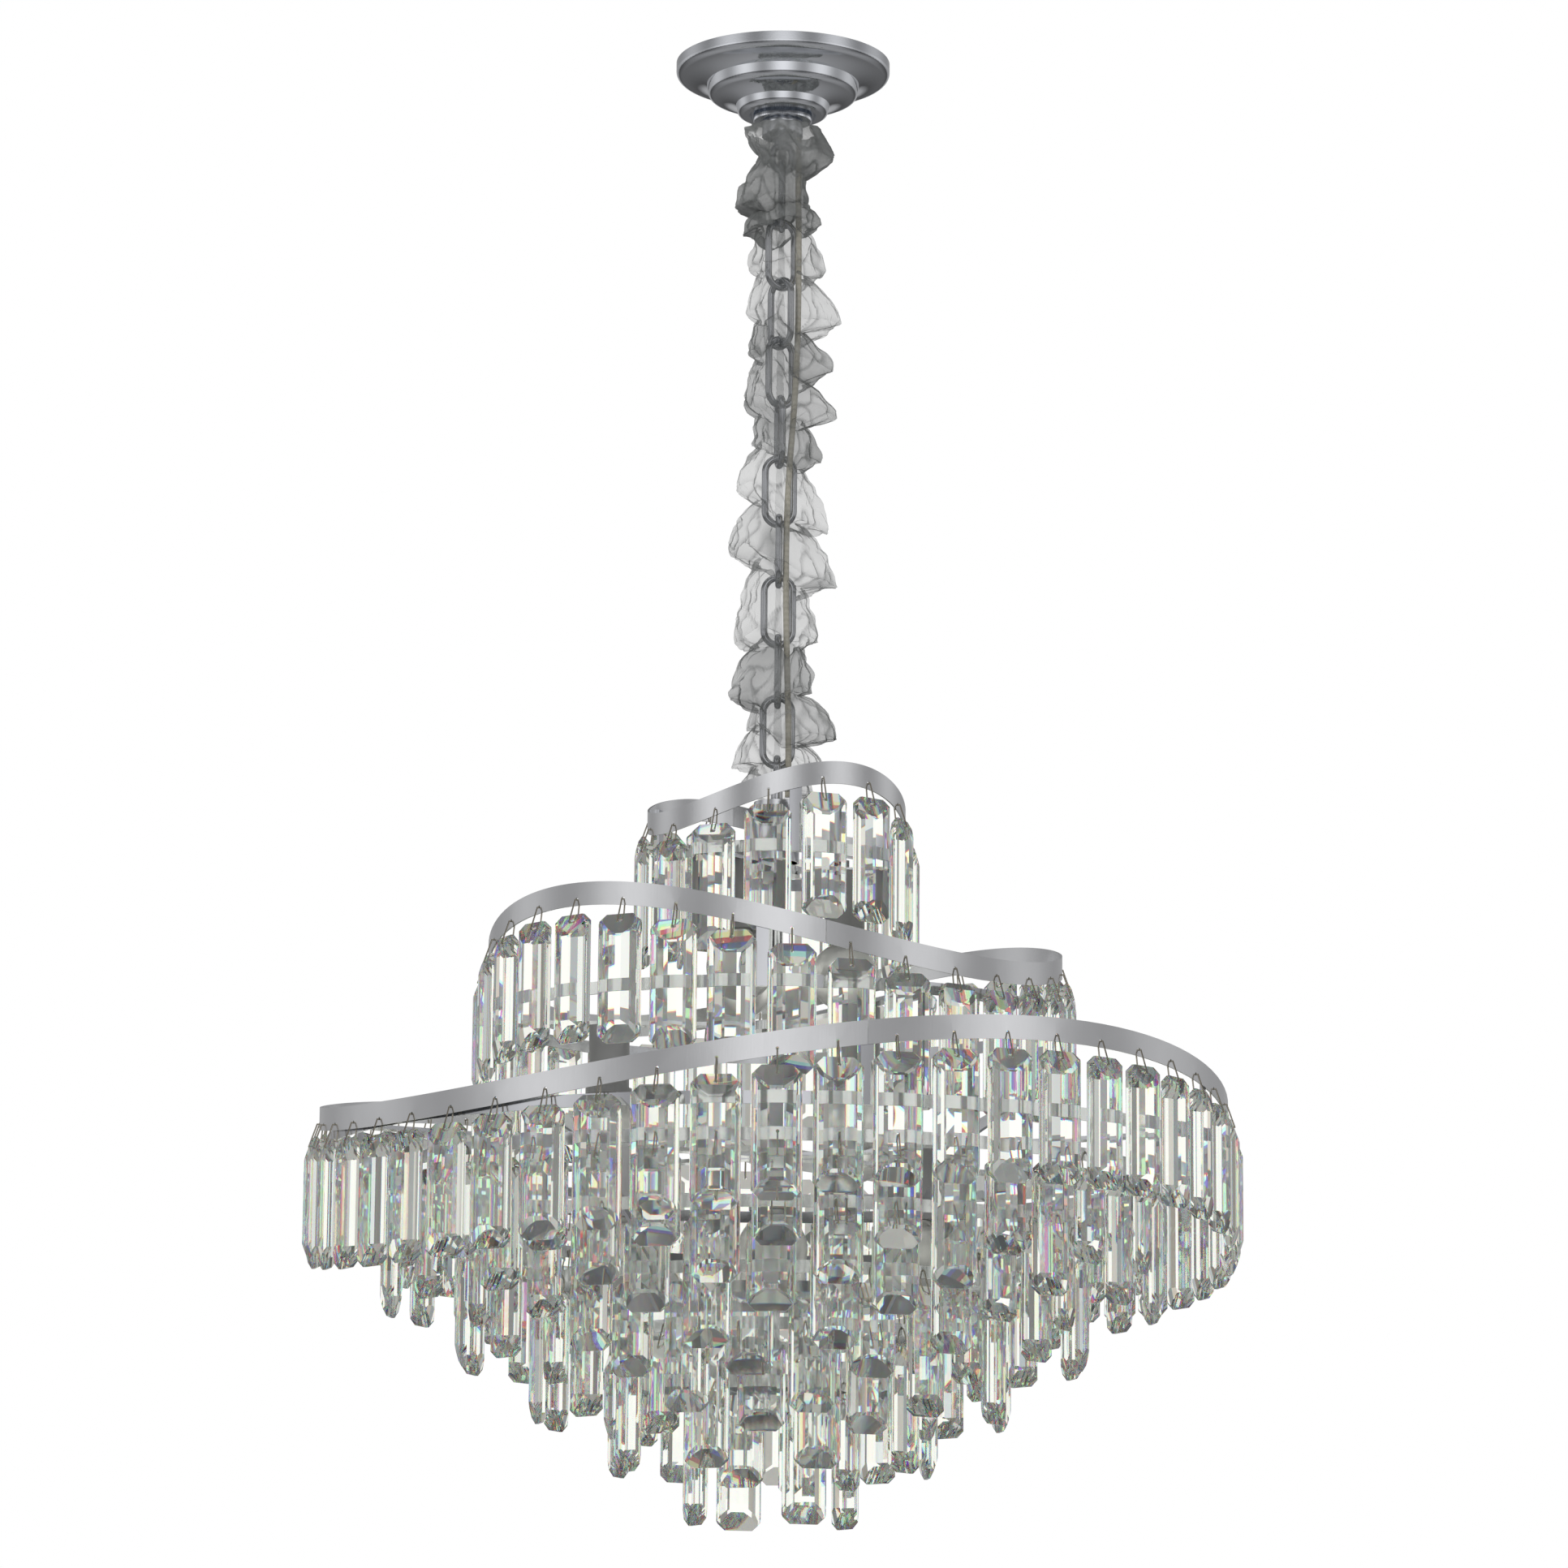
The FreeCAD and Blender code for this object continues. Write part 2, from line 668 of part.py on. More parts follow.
def flat_ring(radius):
    top = RINGS[radius].top
    ring = tube(radius + STRIP_THICK / 2, radius - STRIP_THICK / 2, top, top - STRIP_HEIGHT)
    azimuths = spread(RINGS[radius].drops, RINGS[radius].first_drop)
    return drill(ring, radius, [(a, top - RING_HOLE_DOWN) for a in azimuths])


def tier_frame(tier):
    """A strip ring, flat spokes and a hub, welded into one wheel."""
    radius, top, spokes, first_spoke = FRAMES[tier]
    low = top - STRIP_HEIGHT
    wheel = tube(radius + STRIP_THICK / 2, radius - STRIP_THICK / 2, top, low)
    hub = rod(HUB_R, hub_top(tier), hub_top(tier) - HUB_HEIGHT)
    half = SPOKE_WIDTH / 2
    bar = block((-half, half), (-radius, 0.0), (low, low + SPOKE_THICK))
    bars = [turned(bar, azimuth) for azimuth in spread(spokes, first_spoke)]
    wheel = wheel.fuse([hub] + bars)
    holes = [rod(STEM_R + SEAT_GAP, top + HUB_HEIGHT, low - HUB_HEIGHT)]
    for place in lamp_places(tier):
        holes.append(rod(HOLDER_STUD_R + SEAT_GAP, top + 1, low - 1, (place.x, place.y)))
    return wheel.cut(Part.makeCompound(holes)).removeSplitter()


def sector(inner, outer, azimuth, width, top, bottom):
    """A piece of a curved strip, centred on an azimuth."""
    ring = tube(outer, inner, top, bottom)
    half = width / 2
    cutter = block((-half, half), (-outer - 5, 0), (bottom - 1, top + 1))
    return ring.common(turned(cutter, azimuth))


def band_struts(tier):
    """Upright tabs from the frame's ring to the back of the band."""
    ring_top = FRAMES[tier].top
    outside = BANDS[tier].radius - BAND_THICK / 2 - SEAT_GAP
    inside = outside - STRUT_THICK
    foot_inside = FRAMES[tier].radius + STRIP_THICK / 2 + SEAT_GAP
    low = ring_top - STRIP_HEIGHT
    struts = []
    for azimuth in BANDS[tier].struts:
        top = band_top(tier, azimuth) - BAND_HEIGHT + STRUT_OVERLAP
        upright = sector(inside, outside, azimuth, STRUT_WIDTH, top, low)
        foot = sector(foot_inside, inside + STRUT_THICK / 2, azimuth, STRUT_WIDTH, ring_top, low)
        struts.append(upright.fuse(foot).removeSplitter())
    return struts


def ring_ribs():
    """Flat bars on edge that step down from the lowest frame to the bottom hub."""
    frame = FRAMES[max(FRAMES)]
    start = frame.radius - STRIP_THICK / 2 - SEAT_GAP
    low = [(start, frame.top - STRIP_HEIGHT + SPOKE_THICK)]
    for radius, ring in RINGS.items():
        seat = ring.top + SEAT_GAP
        low.append((radius + RIB_SEAT / 2, seat))
        low.append((radius - RIB_SEAT / 2, seat))
    low.append((HUB_R + SEAT_GAP, BOTTOM_HUB_TOP - RIB_AT_HUB))
    high = [(r, z + RIB_DEPTH) for r, z in low]
    high[0] = (start, frame.top)
    high[-1] = (HUB_R + SEAT_GAP, BOTTOM_HUB_TOP)
    corners = [V(-RIB_THICK / 2, -r, z) for r, z in low + high[::-1]]
    rib = prism(corners, V(RIB_THICK, 0, 0))
    return [turned(rib, azimuth) for azimuth in spread(RIB_COUNT, RIB_START)]


# ================================================================ drops and hooks
def drop_half_thickness():
    return DROP_EDGE_HALF + sum(rise for _, rise in DROP_BEVELS)


def cut_drop(length):
    """A drop hanging from z = 0 in the X-Z plane, cut alike on its front and back."""
    half = DROP_WIDTH / 2
    x = half
    y = DROP_EDGE_HALF
    quarter = [(x, y)]
    for width, rise in DROP_BEVELS:
        x -= width
        y += rise
        quarter.append((x, y))
    top_side = quarter + [(-px, py) for px, py in reversed(quarter)]
    section = top_side + [(-px, -py) for px, py in top_side]
    body = prism([V(px, py, -length) for px, py in section], V(0, 0, length))
    corner = DROP_CORNER
    outline = [(half, -corner), (half, corner - length), (half - corner, -length)]
    outline += [(-px, pz) for px, pz in reversed(outline)]
    outline += [(corner - half, 0.0), (half - corner, 0.0)]
    face = prism([V(px, -half, pz) for px, pz in outline], V(0, 2 * half, 0))
    thick = drop_half_thickness()
    side = [(thick, -DROP_END_CUT), (thick, DROP_END_CUT - length), (DROP_EDGE_HALF, -length)]
    side += [(-py, pz) for py, pz in reversed(side)]
    side += [(-DROP_EDGE_HALF, 0.0), (DROP_EDGE_HALF, 0.0)]
    wedge = prism([V(-half - 1, py, pz) for py, pz in side], V(2 * half + 2, 0, 0))
    hole = Part.makeCylinder(DROP_HOLE_R, 2 * thick + 2, V(0, -thick - 1, -DROP_HOLE_DOWN),
                             V(0, 1, 0))
    return body.common(face).common(wedge).cut(hole)


def bent_wire(points, radius):
    """A round wire through corners, with ball-shaped bends."""
    pieces = []
    for start, end in zip(points, points[1:]):
        pieces.append(Part.makeCylinder(radius, (end - start).Length, start, end - start))
    for corner in points[1:-1]:
        pieces.append(Part.makeSphere(radius, corner))
    return pieces[0].fuse(pieces[1:]).removeSplitter()


def hook():
    """A staple through the strip's hole whose two ends turn into the drop's hole."""
    rest = -(HOLE_R - HOOK_WIRE_R) / 2
    rise = (drop_half_thickness() - DROP_EDGE_HALF) / DROP_END_CUT
    half_there = DROP_EDGE_HALF + rise * DROP_HOLE_DOWN
    leg = half_there + HOOK_WIRE_R + HOOK_LEG_CLEAR
    z = -HOOK_HEIGHT
    points = [
        V(0, -DROP_OUTSET - half_there + HOOK_PIN, z),
        V(0, -DROP_OUTSET - leg, z),
        V(0, -HOOK_HALF_SPAN, rest),
        V(0, HOOK_HALF_SPAN, rest),
        V(0, -DROP_OUTSET + leg, z),
        V(0, -DROP_OUTSET + half_there - HOOK_PIN, z),
    ]
    return bent_wire(points, HOOK_WIRE_R)


def drop_shift():
    """From the strip's hole to the top of the drop that hangs in it."""
    rest = -(DROP_HOLE_R - HOOK_WIRE_R) / 2
    return V(0, -DROP_OUTSET, rest + DROP_HOLE_DOWN - HOOK_HEIGHT)


def uneven(order):
    """The small turn of each drop about its own hook."""
    return DROP_UNEVEN * math.sin(math.radians(UNEVEN_STEP * order))


def hung(shape, order, azimuth, radius, z):
    """A shape made round a strip hole, turned a little there and put in its place."""
    local = turned(shape, uneven(order))
    return turned(shifted(local, V(0, -radius, z)), azimuth)


def band_hangers(tier):
    """Order, azimuth, radius and hole height of every drop on a band."""
    band = BANDS[tier]
    azimuths = spread(band.drops, band.first_drop)
    return [(k, a, band.radius, band_hole(tier, a)) for k, a in enumerate(azimuths)]


def ring_hangers(radius):
    """Order, azimuth, radius and hole height of every drop on a flat ring."""
    ring = RINGS[radius]
    azimuths = spread(ring.drops, ring.first_drop)
    return [(k, a, radius, ring.top - RING_HOLE_DOWN) for k, a in enumerate(azimuths)]


# ================================================================ lamps
def holder_top(tier):
    """Underside of the spoke or plate that the holders hang from."""
    return FRAMES[tier][1] - STRIP_HEIGHT - SEAT_GAP


def lamp_holder():
    """A lamp holder that hangs from its stud, open at the bottom."""
    return revolved([
        (0.0, HOLDER_STUD),
        (HOLDER_STUD_R, HOLDER_STUD),
        (HOLDER_STUD_R, 0.0),
        (HOLDER_R, 0.0),
        (HOLDER_R, HOLDER_FLANGE - HOLDER_HEIGHT),
        (HOLDER_FLANGE_R, HOLDER_FLANGE - HOLDER_HEIGHT),
        (HOLDER_FLANGE_R, -HOLDER_HEIGHT),
        (HOLDER_BORE_R, -HOLDER_HEIGHT),
        (HOLDER_BORE_R, HOLDER_BORE_DEPTH - HOLDER_HEIGHT),
        (0.0, HOLDER_BORE_DEPTH - HOLDER_HEIGHT),
    ])


def bulb_cap():
    top = HOLDER_BORE_DEPTH - HOLDER_HEIGHT - HANG_GAP
    return rod(BULB_CAP_R, top, top - BULB_CAP_LENGTH)


def bulb_glass():
    """A round bulb: a short neck that opens into a ball below the holder."""
    top = HOLDER_BORE_DEPTH - HOLDER_HEIGHT - HANG_GAP - BULB_CAP_LENGTH - SEAT_GAP
    bottom = -HOLDER_HEIGHT - BULB_BELOW_HOLDER
    ball = Part.makeSphere(BULB_R, V(0, 0, bottom + BULB_R))
    neck_low = bottom + BULB_R + math.sqrt(BULB_R ** 2 - BULB_NECK_R ** 2) - BULB_NECK_IN
    neck = rod(BULB_TOP_R, top, -HOLDER_HEIGHT)
    start = V(0, 0, -HOLDER_HEIGHT)
    flare = Part.makeCone(BULB_TOP_R, BULB_NECK_R, -HOLDER_HEIGHT - neck_low, start, -UP)
    return ball.fuse([neck, flare]).removeSplitter()


def lamp_places(tier):
    azimuths = spread(FRAMES[tier].spokes, FRAMES[tier].first_spoke)
    return [polar(LAMP_CIRCLES[tier], azimuth, holder_top(tier)) for azimuth in azimuths]


def at_lamps(shape):
    return [shifted(shape, place) for tier in FRAMES for place in lamp_places(tier)]


# ================================================================ all parts
def make_ceiling_parts():
    save("ceiling_bracket", ceiling_bracket())
    save("canopy_nipple", canopy_nipple())
    save("bracket_nuts", *bracket_nuts())
    save("terminal_block", terminal_block())
    save("canopy", canopy())
    save("canopy_lock_ring", lock_ring())
    save("ceiling_loop", ceiling_loop())


def make_chain_parts():
    links = chain_links()
    save("chain_link_top", links[0])
    save("chain_links_middle", *links[1:-1])
    save("chain_link_bottom", links[-1])
    save("supply_cable", supply_cable())
    save("chain_sleeve", chain_sleeve())


def make_centre_parts():
    save("body_eye", body_eye())
    save("body_cup", body_cup())
    save("stem_coupler", stem_coupler())
    save("centre_stem", centre_stem())
    save("stem_nuts", *stem_nuts())
    save("bottom_hub", bottom_hub())
    save("cap_nut", cap_nut())
    save("ring_ribs", *ring_ribs())


def make_tiers():
    long_drop = shifted(cut_drop(DROP_LENGTH), drop_shift())
    short_drop = shifted(cut_drop(SHORT_DROP_LENGTH), drop_shift())
    staple = hook()
    for tier in BANDS:
        points = band_hangers(tier)
        save(f"band_{tier}", wavy_band(tier))
        save(f"band_{tier}_frame", tier_frame(tier))
        save(f"band_{tier}_struts", *band_struts(tier))
        save(f"band_{tier}_drops", *[hung(long_drop, *p) for p in points])
        save(f"band_{tier}_hooks", *[hung(staple, *p) for p in points])
    for radius in RINGS:
        points = ring_hangers(radius)
        drops = [hung((short_drop, long_drop)[p[0] % 2], *p) for p in points]
        save(f"ring_{radius}", flat_ring(radius))
        save(f"ring_{radius}_hooks", *[hung(staple, *p) for p in points])
        if radius == min(RINGS):
            for number, drop in enumerate(drops, 1):
                save(f"ring_{radius}_drop_{number}", drop)
        else:
            save(f"ring_{radius}_drops", *drops)


def make_lamps():
    save("lamp_holders", *at_lamps(lamp_holder()))
    save("bulb_caps", *at_lamps(bulb_cap()))
    save("bulb_glasses", *at_lamps(bulb_glass()))


os.makedirs("parts", exist_ok=True)
make_ceiling_parts()
make_chain_parts()
make_centre_parts()
make_tiers()
make_lamps()
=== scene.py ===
import json
import math

import bpy
from mathutils import Matrix, Vector, noise


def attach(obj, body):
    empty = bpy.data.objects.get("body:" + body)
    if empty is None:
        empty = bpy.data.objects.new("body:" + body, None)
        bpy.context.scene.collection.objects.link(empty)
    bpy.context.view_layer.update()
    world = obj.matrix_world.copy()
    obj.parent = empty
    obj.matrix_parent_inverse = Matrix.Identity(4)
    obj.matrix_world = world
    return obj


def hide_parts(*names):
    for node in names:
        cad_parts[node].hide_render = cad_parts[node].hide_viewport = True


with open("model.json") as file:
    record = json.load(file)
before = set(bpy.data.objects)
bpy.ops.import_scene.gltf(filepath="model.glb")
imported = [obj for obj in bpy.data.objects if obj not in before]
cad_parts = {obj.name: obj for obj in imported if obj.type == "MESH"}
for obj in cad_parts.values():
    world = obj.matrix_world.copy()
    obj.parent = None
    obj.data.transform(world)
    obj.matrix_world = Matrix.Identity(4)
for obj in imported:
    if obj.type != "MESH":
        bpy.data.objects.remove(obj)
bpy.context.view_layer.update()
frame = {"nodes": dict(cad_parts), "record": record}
NODES = frame["nodes"]

# Metres, +Z up, the origin on the lamp's axis in the plane of the ceiling. The front is -Y.
MM = 0.001

# ---------------------------------------------------------------- camera
CAMERA_AT = Vector((0.0048, -3.538, -1.163))
CAMERA_PITCH = math.radians(10.55)
CAMERA_ROLL = math.radians(0.483)
SENSOR = 36.0               # its width, and the focal length, in mm
FOCAL = 123.0

# ---------------------------------------------------------------- studio
# Levels of light by the sine of the height of view, moved from -1..1 to 0..1.
SKY_THROUGH_GLASS = ((0.0, 0.30), (0.34, 0.50), (0.41, 1.05), (0.68, 1.15), (0.75, 0.50),
                     (1.0, 0.25))
SKY_IN_METAL = ((0.0, 0.60), (0.20, 0.46), (0.33, 0.32), (0.42, 0.18), (0.48, 0.85), (0.56, 1.0),
                (0.64, 0.95), (0.72, 0.22), (0.82, 0.35), (0.88, 1.25), (1.0, 0.80))
WARM = (1.0, 1.0, 0.95)     # tone of what is seen through the glass
COOL = (1.0, 1.0, 1.02)     # tone of what is seen in the metal
# Upright soft boxes all round: a level, and waves of count, phase and share.
METAL_PANELS = (0.52, ((1, math.pi, 0.14), (6, 0.0, 0.17), (5, math.pi, 0.065),
                       (7, math.pi, 0.065)))
GLASS_PANELS = (1.00, ((8, 0.0, 0.80),))
# Steeply up or down, metal sees one even level in place of the panels.
STEEP_FROM = 0.175          # distance of the height of view from 0.5
STEEP_TO = 0.40
STEEP_LEVEL = 0.55
DULL_LEVEL = 0.55           # the world's light on what neither mirrors nor lets through
# Name, place, width and height, and power of each soft light.
LIGHTS = (("key", (-1.6, -2.4, 0.6), (1.0, 1.6), 55.0),
          ("fill", (2.2, -1.8, -0.4), (0.8, 2.0), 30.0),
          ("rim", (0.6, 2.4, 0.5), (1.6, 1.0), 30.0))
LIGHTS_AIM = (0.0, 0.0, -0.6)
FLOOR_LEVEL = -1.75
FLOOR_R = 2.6
FLOOR_STEP = 5              # degrees between the floor's corners

# ---------------------------------------------------------------- finishes
# Scales of noise: the larger, the finer.
PLATING_CLOUD = 14.0
PLATING_TONES = (0.94, 1.04)    # shares of the colour, from the darkest to the lightest
POLISH_MARKS = 900.0
POLISH_BUMP = (0.06, 0.0002)    # strength, and depth in metres
PLASTIC_CLOUD = 40.0
PLASTIC_TONES = (0.9, 1.08)
PLASTIC_GRAIN = 1500.0
GLASS_CLOUD = 22.0
GLASS_TONE = 0.985          # share of the tint at its darkest
BULB_CLOUD = 60.0
CLOTH_CLOUD = 30.0
FLOOR_CLOUD = 1.5
STRAND_LAY = 90.0           # of the waves that stand for the cable's twisted strands
STRAND_TILT = (0.5, 0.0, 0.6)
THREADS = 420.0             # of the waves that stand for the organza's threads
SPLIT_SHARE = 0.55          # share of what is seen in a drop that is split into its colours
LIGHT_THROUGH = 0.45        # share of the light on a thread that comes out behind it
THREAD_SHEEN = 0.12
WEAVE_COVER = (0.10, 0.20)  # cover of flat cloth, from between its threads to on them

# ---------------------------------------------------------------- supply cable
CABLE_ROUTE = [
    (0.0112, -0.0080, -0.0550),
    (0.0111, -0.0075, -0.0840),
    (0.0117, -0.0045, -0.1220),
    (0.0119, -0.0005, -0.1630),
    (0.0115, -0.0015, -0.2050),
    (0.0096, -0.0048, -0.2460),
    (0.0066, -0.0069, -0.2870),
    (0.0049, -0.0063, -0.3300),
    (0.0050, -0.0069, -0.3740),
    (0.0059, -0.0064, -0.4160),
    (0.0072, -0.0085, -0.4550),
    (0.0077, -0.0095, -0.4880),
    (0.0075, -0.0093, -0.5148),
]
CABLE_R = 2.1 * MM

# ---------------------------------------------------------------- chain sleeve
# The edge of each gather, where the cloth stands out furthest: its height, its reach from
# the chain, and how far the cloth runs up (or down, below 0) from there to its next waist,
# on the left and on the right, in mm.
GATHERS = [
    ((-54.0, 23.0, -12.0), (-68.0, 32.0, -14.0)),
    ((-102.0, 30.0, -4.0), (-100.0, 17.0, -2.0)),
    ((-121.0, 25.0, 3.0), (-114.0, 24.5, -6.0)),
    ((-145.0, 21.5, -6.0), (-150.0, 27.0, -3.0)),
    ((-176.0, 22.5, -8.0), (-186.0, 38.0, -5.0)),
    ((-205.0, 21.0, -6.0), (-217.0, 32.0, -9.0)),
    ((-241.0, 24.0, -10.0), (-249.0, 34.5, -8.0)),
    ((-268.0, 18.0, -4.0), (-280.0, 25.0, -8.0)),
    ((-299.0, 28.0, -10.0), (-331.0, 29.0, 3.0)),
    ((-344.0, 32.5, -8.0), (-366.0, 35.0, -5.0)),
    ((-406.0, 28.0, -6.0), (-406.0, 25.0, -6.0)),
    ((-446.0, 30.0, -4.0), (-440.0, 22.0, -4.0)),
    ((-466.0, 20.0, 0.0), (-473.0, 37.0, -4.0)),
    ((-492.0, 28.5, 0.0), (-494.0, 30.0, 0.0)),
    ((-512.0, 25.0, 0.0), (-512.0, 24.0, 0.0)),
]
SLEEVE_TOP = -47.0          # the sleeve's own top edge
TOP_REACH = 25.0
WAIST = 15.5                # reach of the cloth between two gathers
CREST = 0.54                # share of a gather's cloth that lies above its edge
CREST_SPREAD = 0.40         # how much that share changes with the noise
SIDE_SWAY = 18.0            # how unevenly a gather's edge hangs at the front and the back
TUCK_SWAY = 12.0            # the same for the waist under it
FULLNESS = 0.75             # power of the curve from a waist out to an edge: the larger, the later
LEAST_FULLNESS = 0.4
UNDER_FULLNESS = 0.8        # the same from the edge back to the next waist
UNDER_BEND = 1.2            # power of the way back in height
# How closely the cloth is bunched or wrapped in each gather.
BUNCHED = [0.74, 0.66, 0.56, 0.12, 0.10, 0.30, 0.26, 0.34, 0.05, 0.10, 0.06, 0.34, 0.22, 0.05,
           0.12]
COVER_CLOUD = 1.1           # how much the bunching changes with the noise
COVER_EVEN = 0.55           # share of it that is even, and share that changes
COVER_CHANGING = 0.45
WAIST_COVER = 0.10          # a waist adds to the threads' cover; an edge adds painted shade, and a crease adds both
EDGE_SHADE = 0.12
CREASE_COVER_AND_SHADE = 0.40
EDGE_NARROWNESS = 14.0
FLUTES = ((4, 0.15), (7, 0.07), (11, 0.03))     # count round the sleeve, and share of the reach
FLUTE_RISE = 0.6            # puts the flutes' mean near 0
FLUTE_DRIFT = 0.5           # how far they may turn from gather to gather, in radians
FLUTE_CHANGE = 0.5          # how far they change and twist down a gather
FLUTE_TWIST = 0.25
FLUTES_AT_WAIST = 0.25      # what is left of them at a waist
FLUTE_DROOP = 15.0          # how far the cloth hangs lower where a fold stands out
WRINKLE = 2.2               # how far small wrinkles stand out
WRINKLE_AROUND = 2.2        # radius of the wrinkles' circle in the noise
WRINKLE_HEIGHT = 9.0
PLEAT_COUNT = 15
PLEAT_DEPTH = 1.2
PLEAT_DRIFT = 2.0
PLEAT_HEIGHT = 30.0
PLEAT_LANE = (1.0, 6.0)     # their place in the noise
CREASE_NARROWNESS = 8.0
CREASE_DEPTH = 2.2
CREASE_AROUND = 1.5         # radius of the creases' circle in the noise
CREASE_HEIGHT = 26.0
CREASE_LEAN = 0.7
CREASES_AT_WAIST = 0.3      # what is left of them at a waist, and what an edge adds
CREASES_AT_EDGE = 0.7
# Places in the noise. Of what sways round the sleeve: the circle's radius, and the step from
# one gather to the next. Of the rest: the step, and the lane that keeps them apart.
EDGE_NOISE = (0.9, 1.7)
TUCK_NOISE = (0.8, 2.9)
FLUTE_NOISE = (3.7, 0.5)
CREST_NOISE = (5.1, 3.0)
FULLNESS_NOISE = (2.3, 8.0)
COVER_NOISE = (1.3, 1.2, 2.0)   # step from gather to gather, across and down
AROUND = 180                # faces round the sleeve
ROWS = 30                   # rows of faces in each gather
SEAM_AT = math.pi / 2       # the cloth is closed down its back, one edge over the other
SEAM_LAP = 0.2              # radians
SEAM_STEP = 1.2             # how far the one edge stands out from the other
LINK_CLEAR = 13.4           # least distance from the chain's axis
COLLAR_CLEAR = 22.0         # the same beside the collar, where the chain swings
COLLAR_LEFT_AT = -62.0      # height below which the collar is no hindrance
LOOP_CLEAR = 16.0           # the same beside the loop under the collar
LOOP_LEFT_AT = -92.0
CLEAR_EASE = 8.0            # height over which both clearances come in
CABLE_CLEAR = 3.2           # least distance from the cable's centre line
BEHIND_CABLE = 15.0         # within this reach the cloth may lie between chain and cable
PAST_CABLE = 17.0           # reach at which it then goes round outside the cable
CLOTH_GROWTH = 0.06
CLOTH_FRAMES = 10
CLOTH_HOLD = 0.30           # how fast the cloth is held to its shape, from 0 to 1
FAST_ROWS = 2               # rows of points held quite fast at each end
SLEEVE_FLAT = (0.16, 0.84)  # width and length, in metres


# ================================================================ node helpers
class Nodes:
    """A material's or world's node tree, with short calls to add and join nodes."""

    def __init__(self, tree):
        self.tree = tree
        tree.nodes.clear()

    def add(self, kind, settings=None, **inputs):
        node = self.tree.nodes.new(kind)
        for name, value in (settings or {}).items():
            setattr(node, name, value)
        for name, value in inputs.items():
            self.put(node, name.replace("_", " "), value)
        return node

    def put(self, node, name, value):
        key = int(name[3:]) if name.startswith("in ") else name
        socket = node.inputs[key]
        if isinstance(value, bpy.types.NodeSocket):
            self.tree.links.new(value, socket)
        else:
            socket.default_value = value


def new_material(name):
    material = bpy.data.materials.new(name)
    material.use_nodes = True
    return material, Nodes(material.node_tree)


def grain(nodes, scale, detail=3.0, stretch=(1.0, 1.0, 1.0)):
    """Noise through the object's own space, as a value from 0 to 1."""
    place = nodes.add("ShaderNodeTexCoord").outputs["Object"]
    mapping = nodes.add("ShaderNodeMapping", Vector=place, Scale=stretch)
    field = nodes.add("ShaderNodeTexNoise", Vector=mapping.outputs["Vector"], Scale=scale,
                      Detail=detail)
    return field.outputs["Fac"]


def ramp(nodes, value, low, high, low_at=0.35, high_at=0.65):
    """A colour that goes from low to high as value does."""
    node = nodes.add("ShaderNodeValToRGB", Fac=value)
    first, last = node.color_ramp.elements
    first.position, last.position = low_at, high_at
    first.color = (*low, 1.0)
    last.color = (*high, 1.0)
    return node.outputs["Color"]


def spread(nodes, value, low, high):
    """A value moved from 0..1 to low..high."""
    return nodes.add("ShaderNodeMapRange", Value=value, To_Min=low, To_Max=high).outputs["Result"]


def bump(nodes, height, strength, distance):
    return nodes.add("ShaderNodeBump", Height=height, Strength=strength,
                     Distance=distance).outputs["Normal"]


def shade(colour, share):
    return tuple(min(1.0, c * share) for c in colour)


# ================================================================ materials
def plated(name, colour, roughness, brush=(1.0, 1.0, 1.0), dulling=0.06):
    """Bright plated metal with faint polishing marks and slightly uneven plating."""
    material, nodes = new_material(name)
    cloud = grain(nodes, PLATING_CLOUD)
    marks = grain(nodes, POLISH_MARKS, 2.0, brush)
    surface = nodes.add(
        "ShaderNodeBsdfPrincipled",
        Base_Color=ramp(nodes, cloud, *(shade(colour, tone) for tone in PLATING_TONES)),
        Metallic=1.0,
        Roughness=spread(nodes, marks, roughness, roughness + dulling),
        Normal=bump(nodes, marks, *POLISH_BUMP),
    )
    nodes.add("ShaderNodeOutputMaterial", Surface=surface.outputs["BSDF"])
    return material


def plastic(name, colour, roughness, grain_height=0.00006):
    """Moulded plastic with a fine grain and a little unevenness in its colour."""
    material, nodes = new_material(name)
    fine = grain(nodes, PLASTIC_GRAIN, 2.0)
    cloud = grain(nodes, PLASTIC_CLOUD)
    surface = nodes.add(
        "ShaderNodeBsdfPrincipled",
        Base_Color=ramp(nodes, cloud, *(shade(colour, tone) for tone in PLASTIC_TONES)),
        Roughness=spread(nodes, fine, roughness - 0.05, roughness + 0.08),
        Normal=bump(nodes, fine, 0.3, grain_height),
    )
    nodes.add("ShaderNodeOutputMaterial", Surface=surface.outputs["BSDF"])
    return material


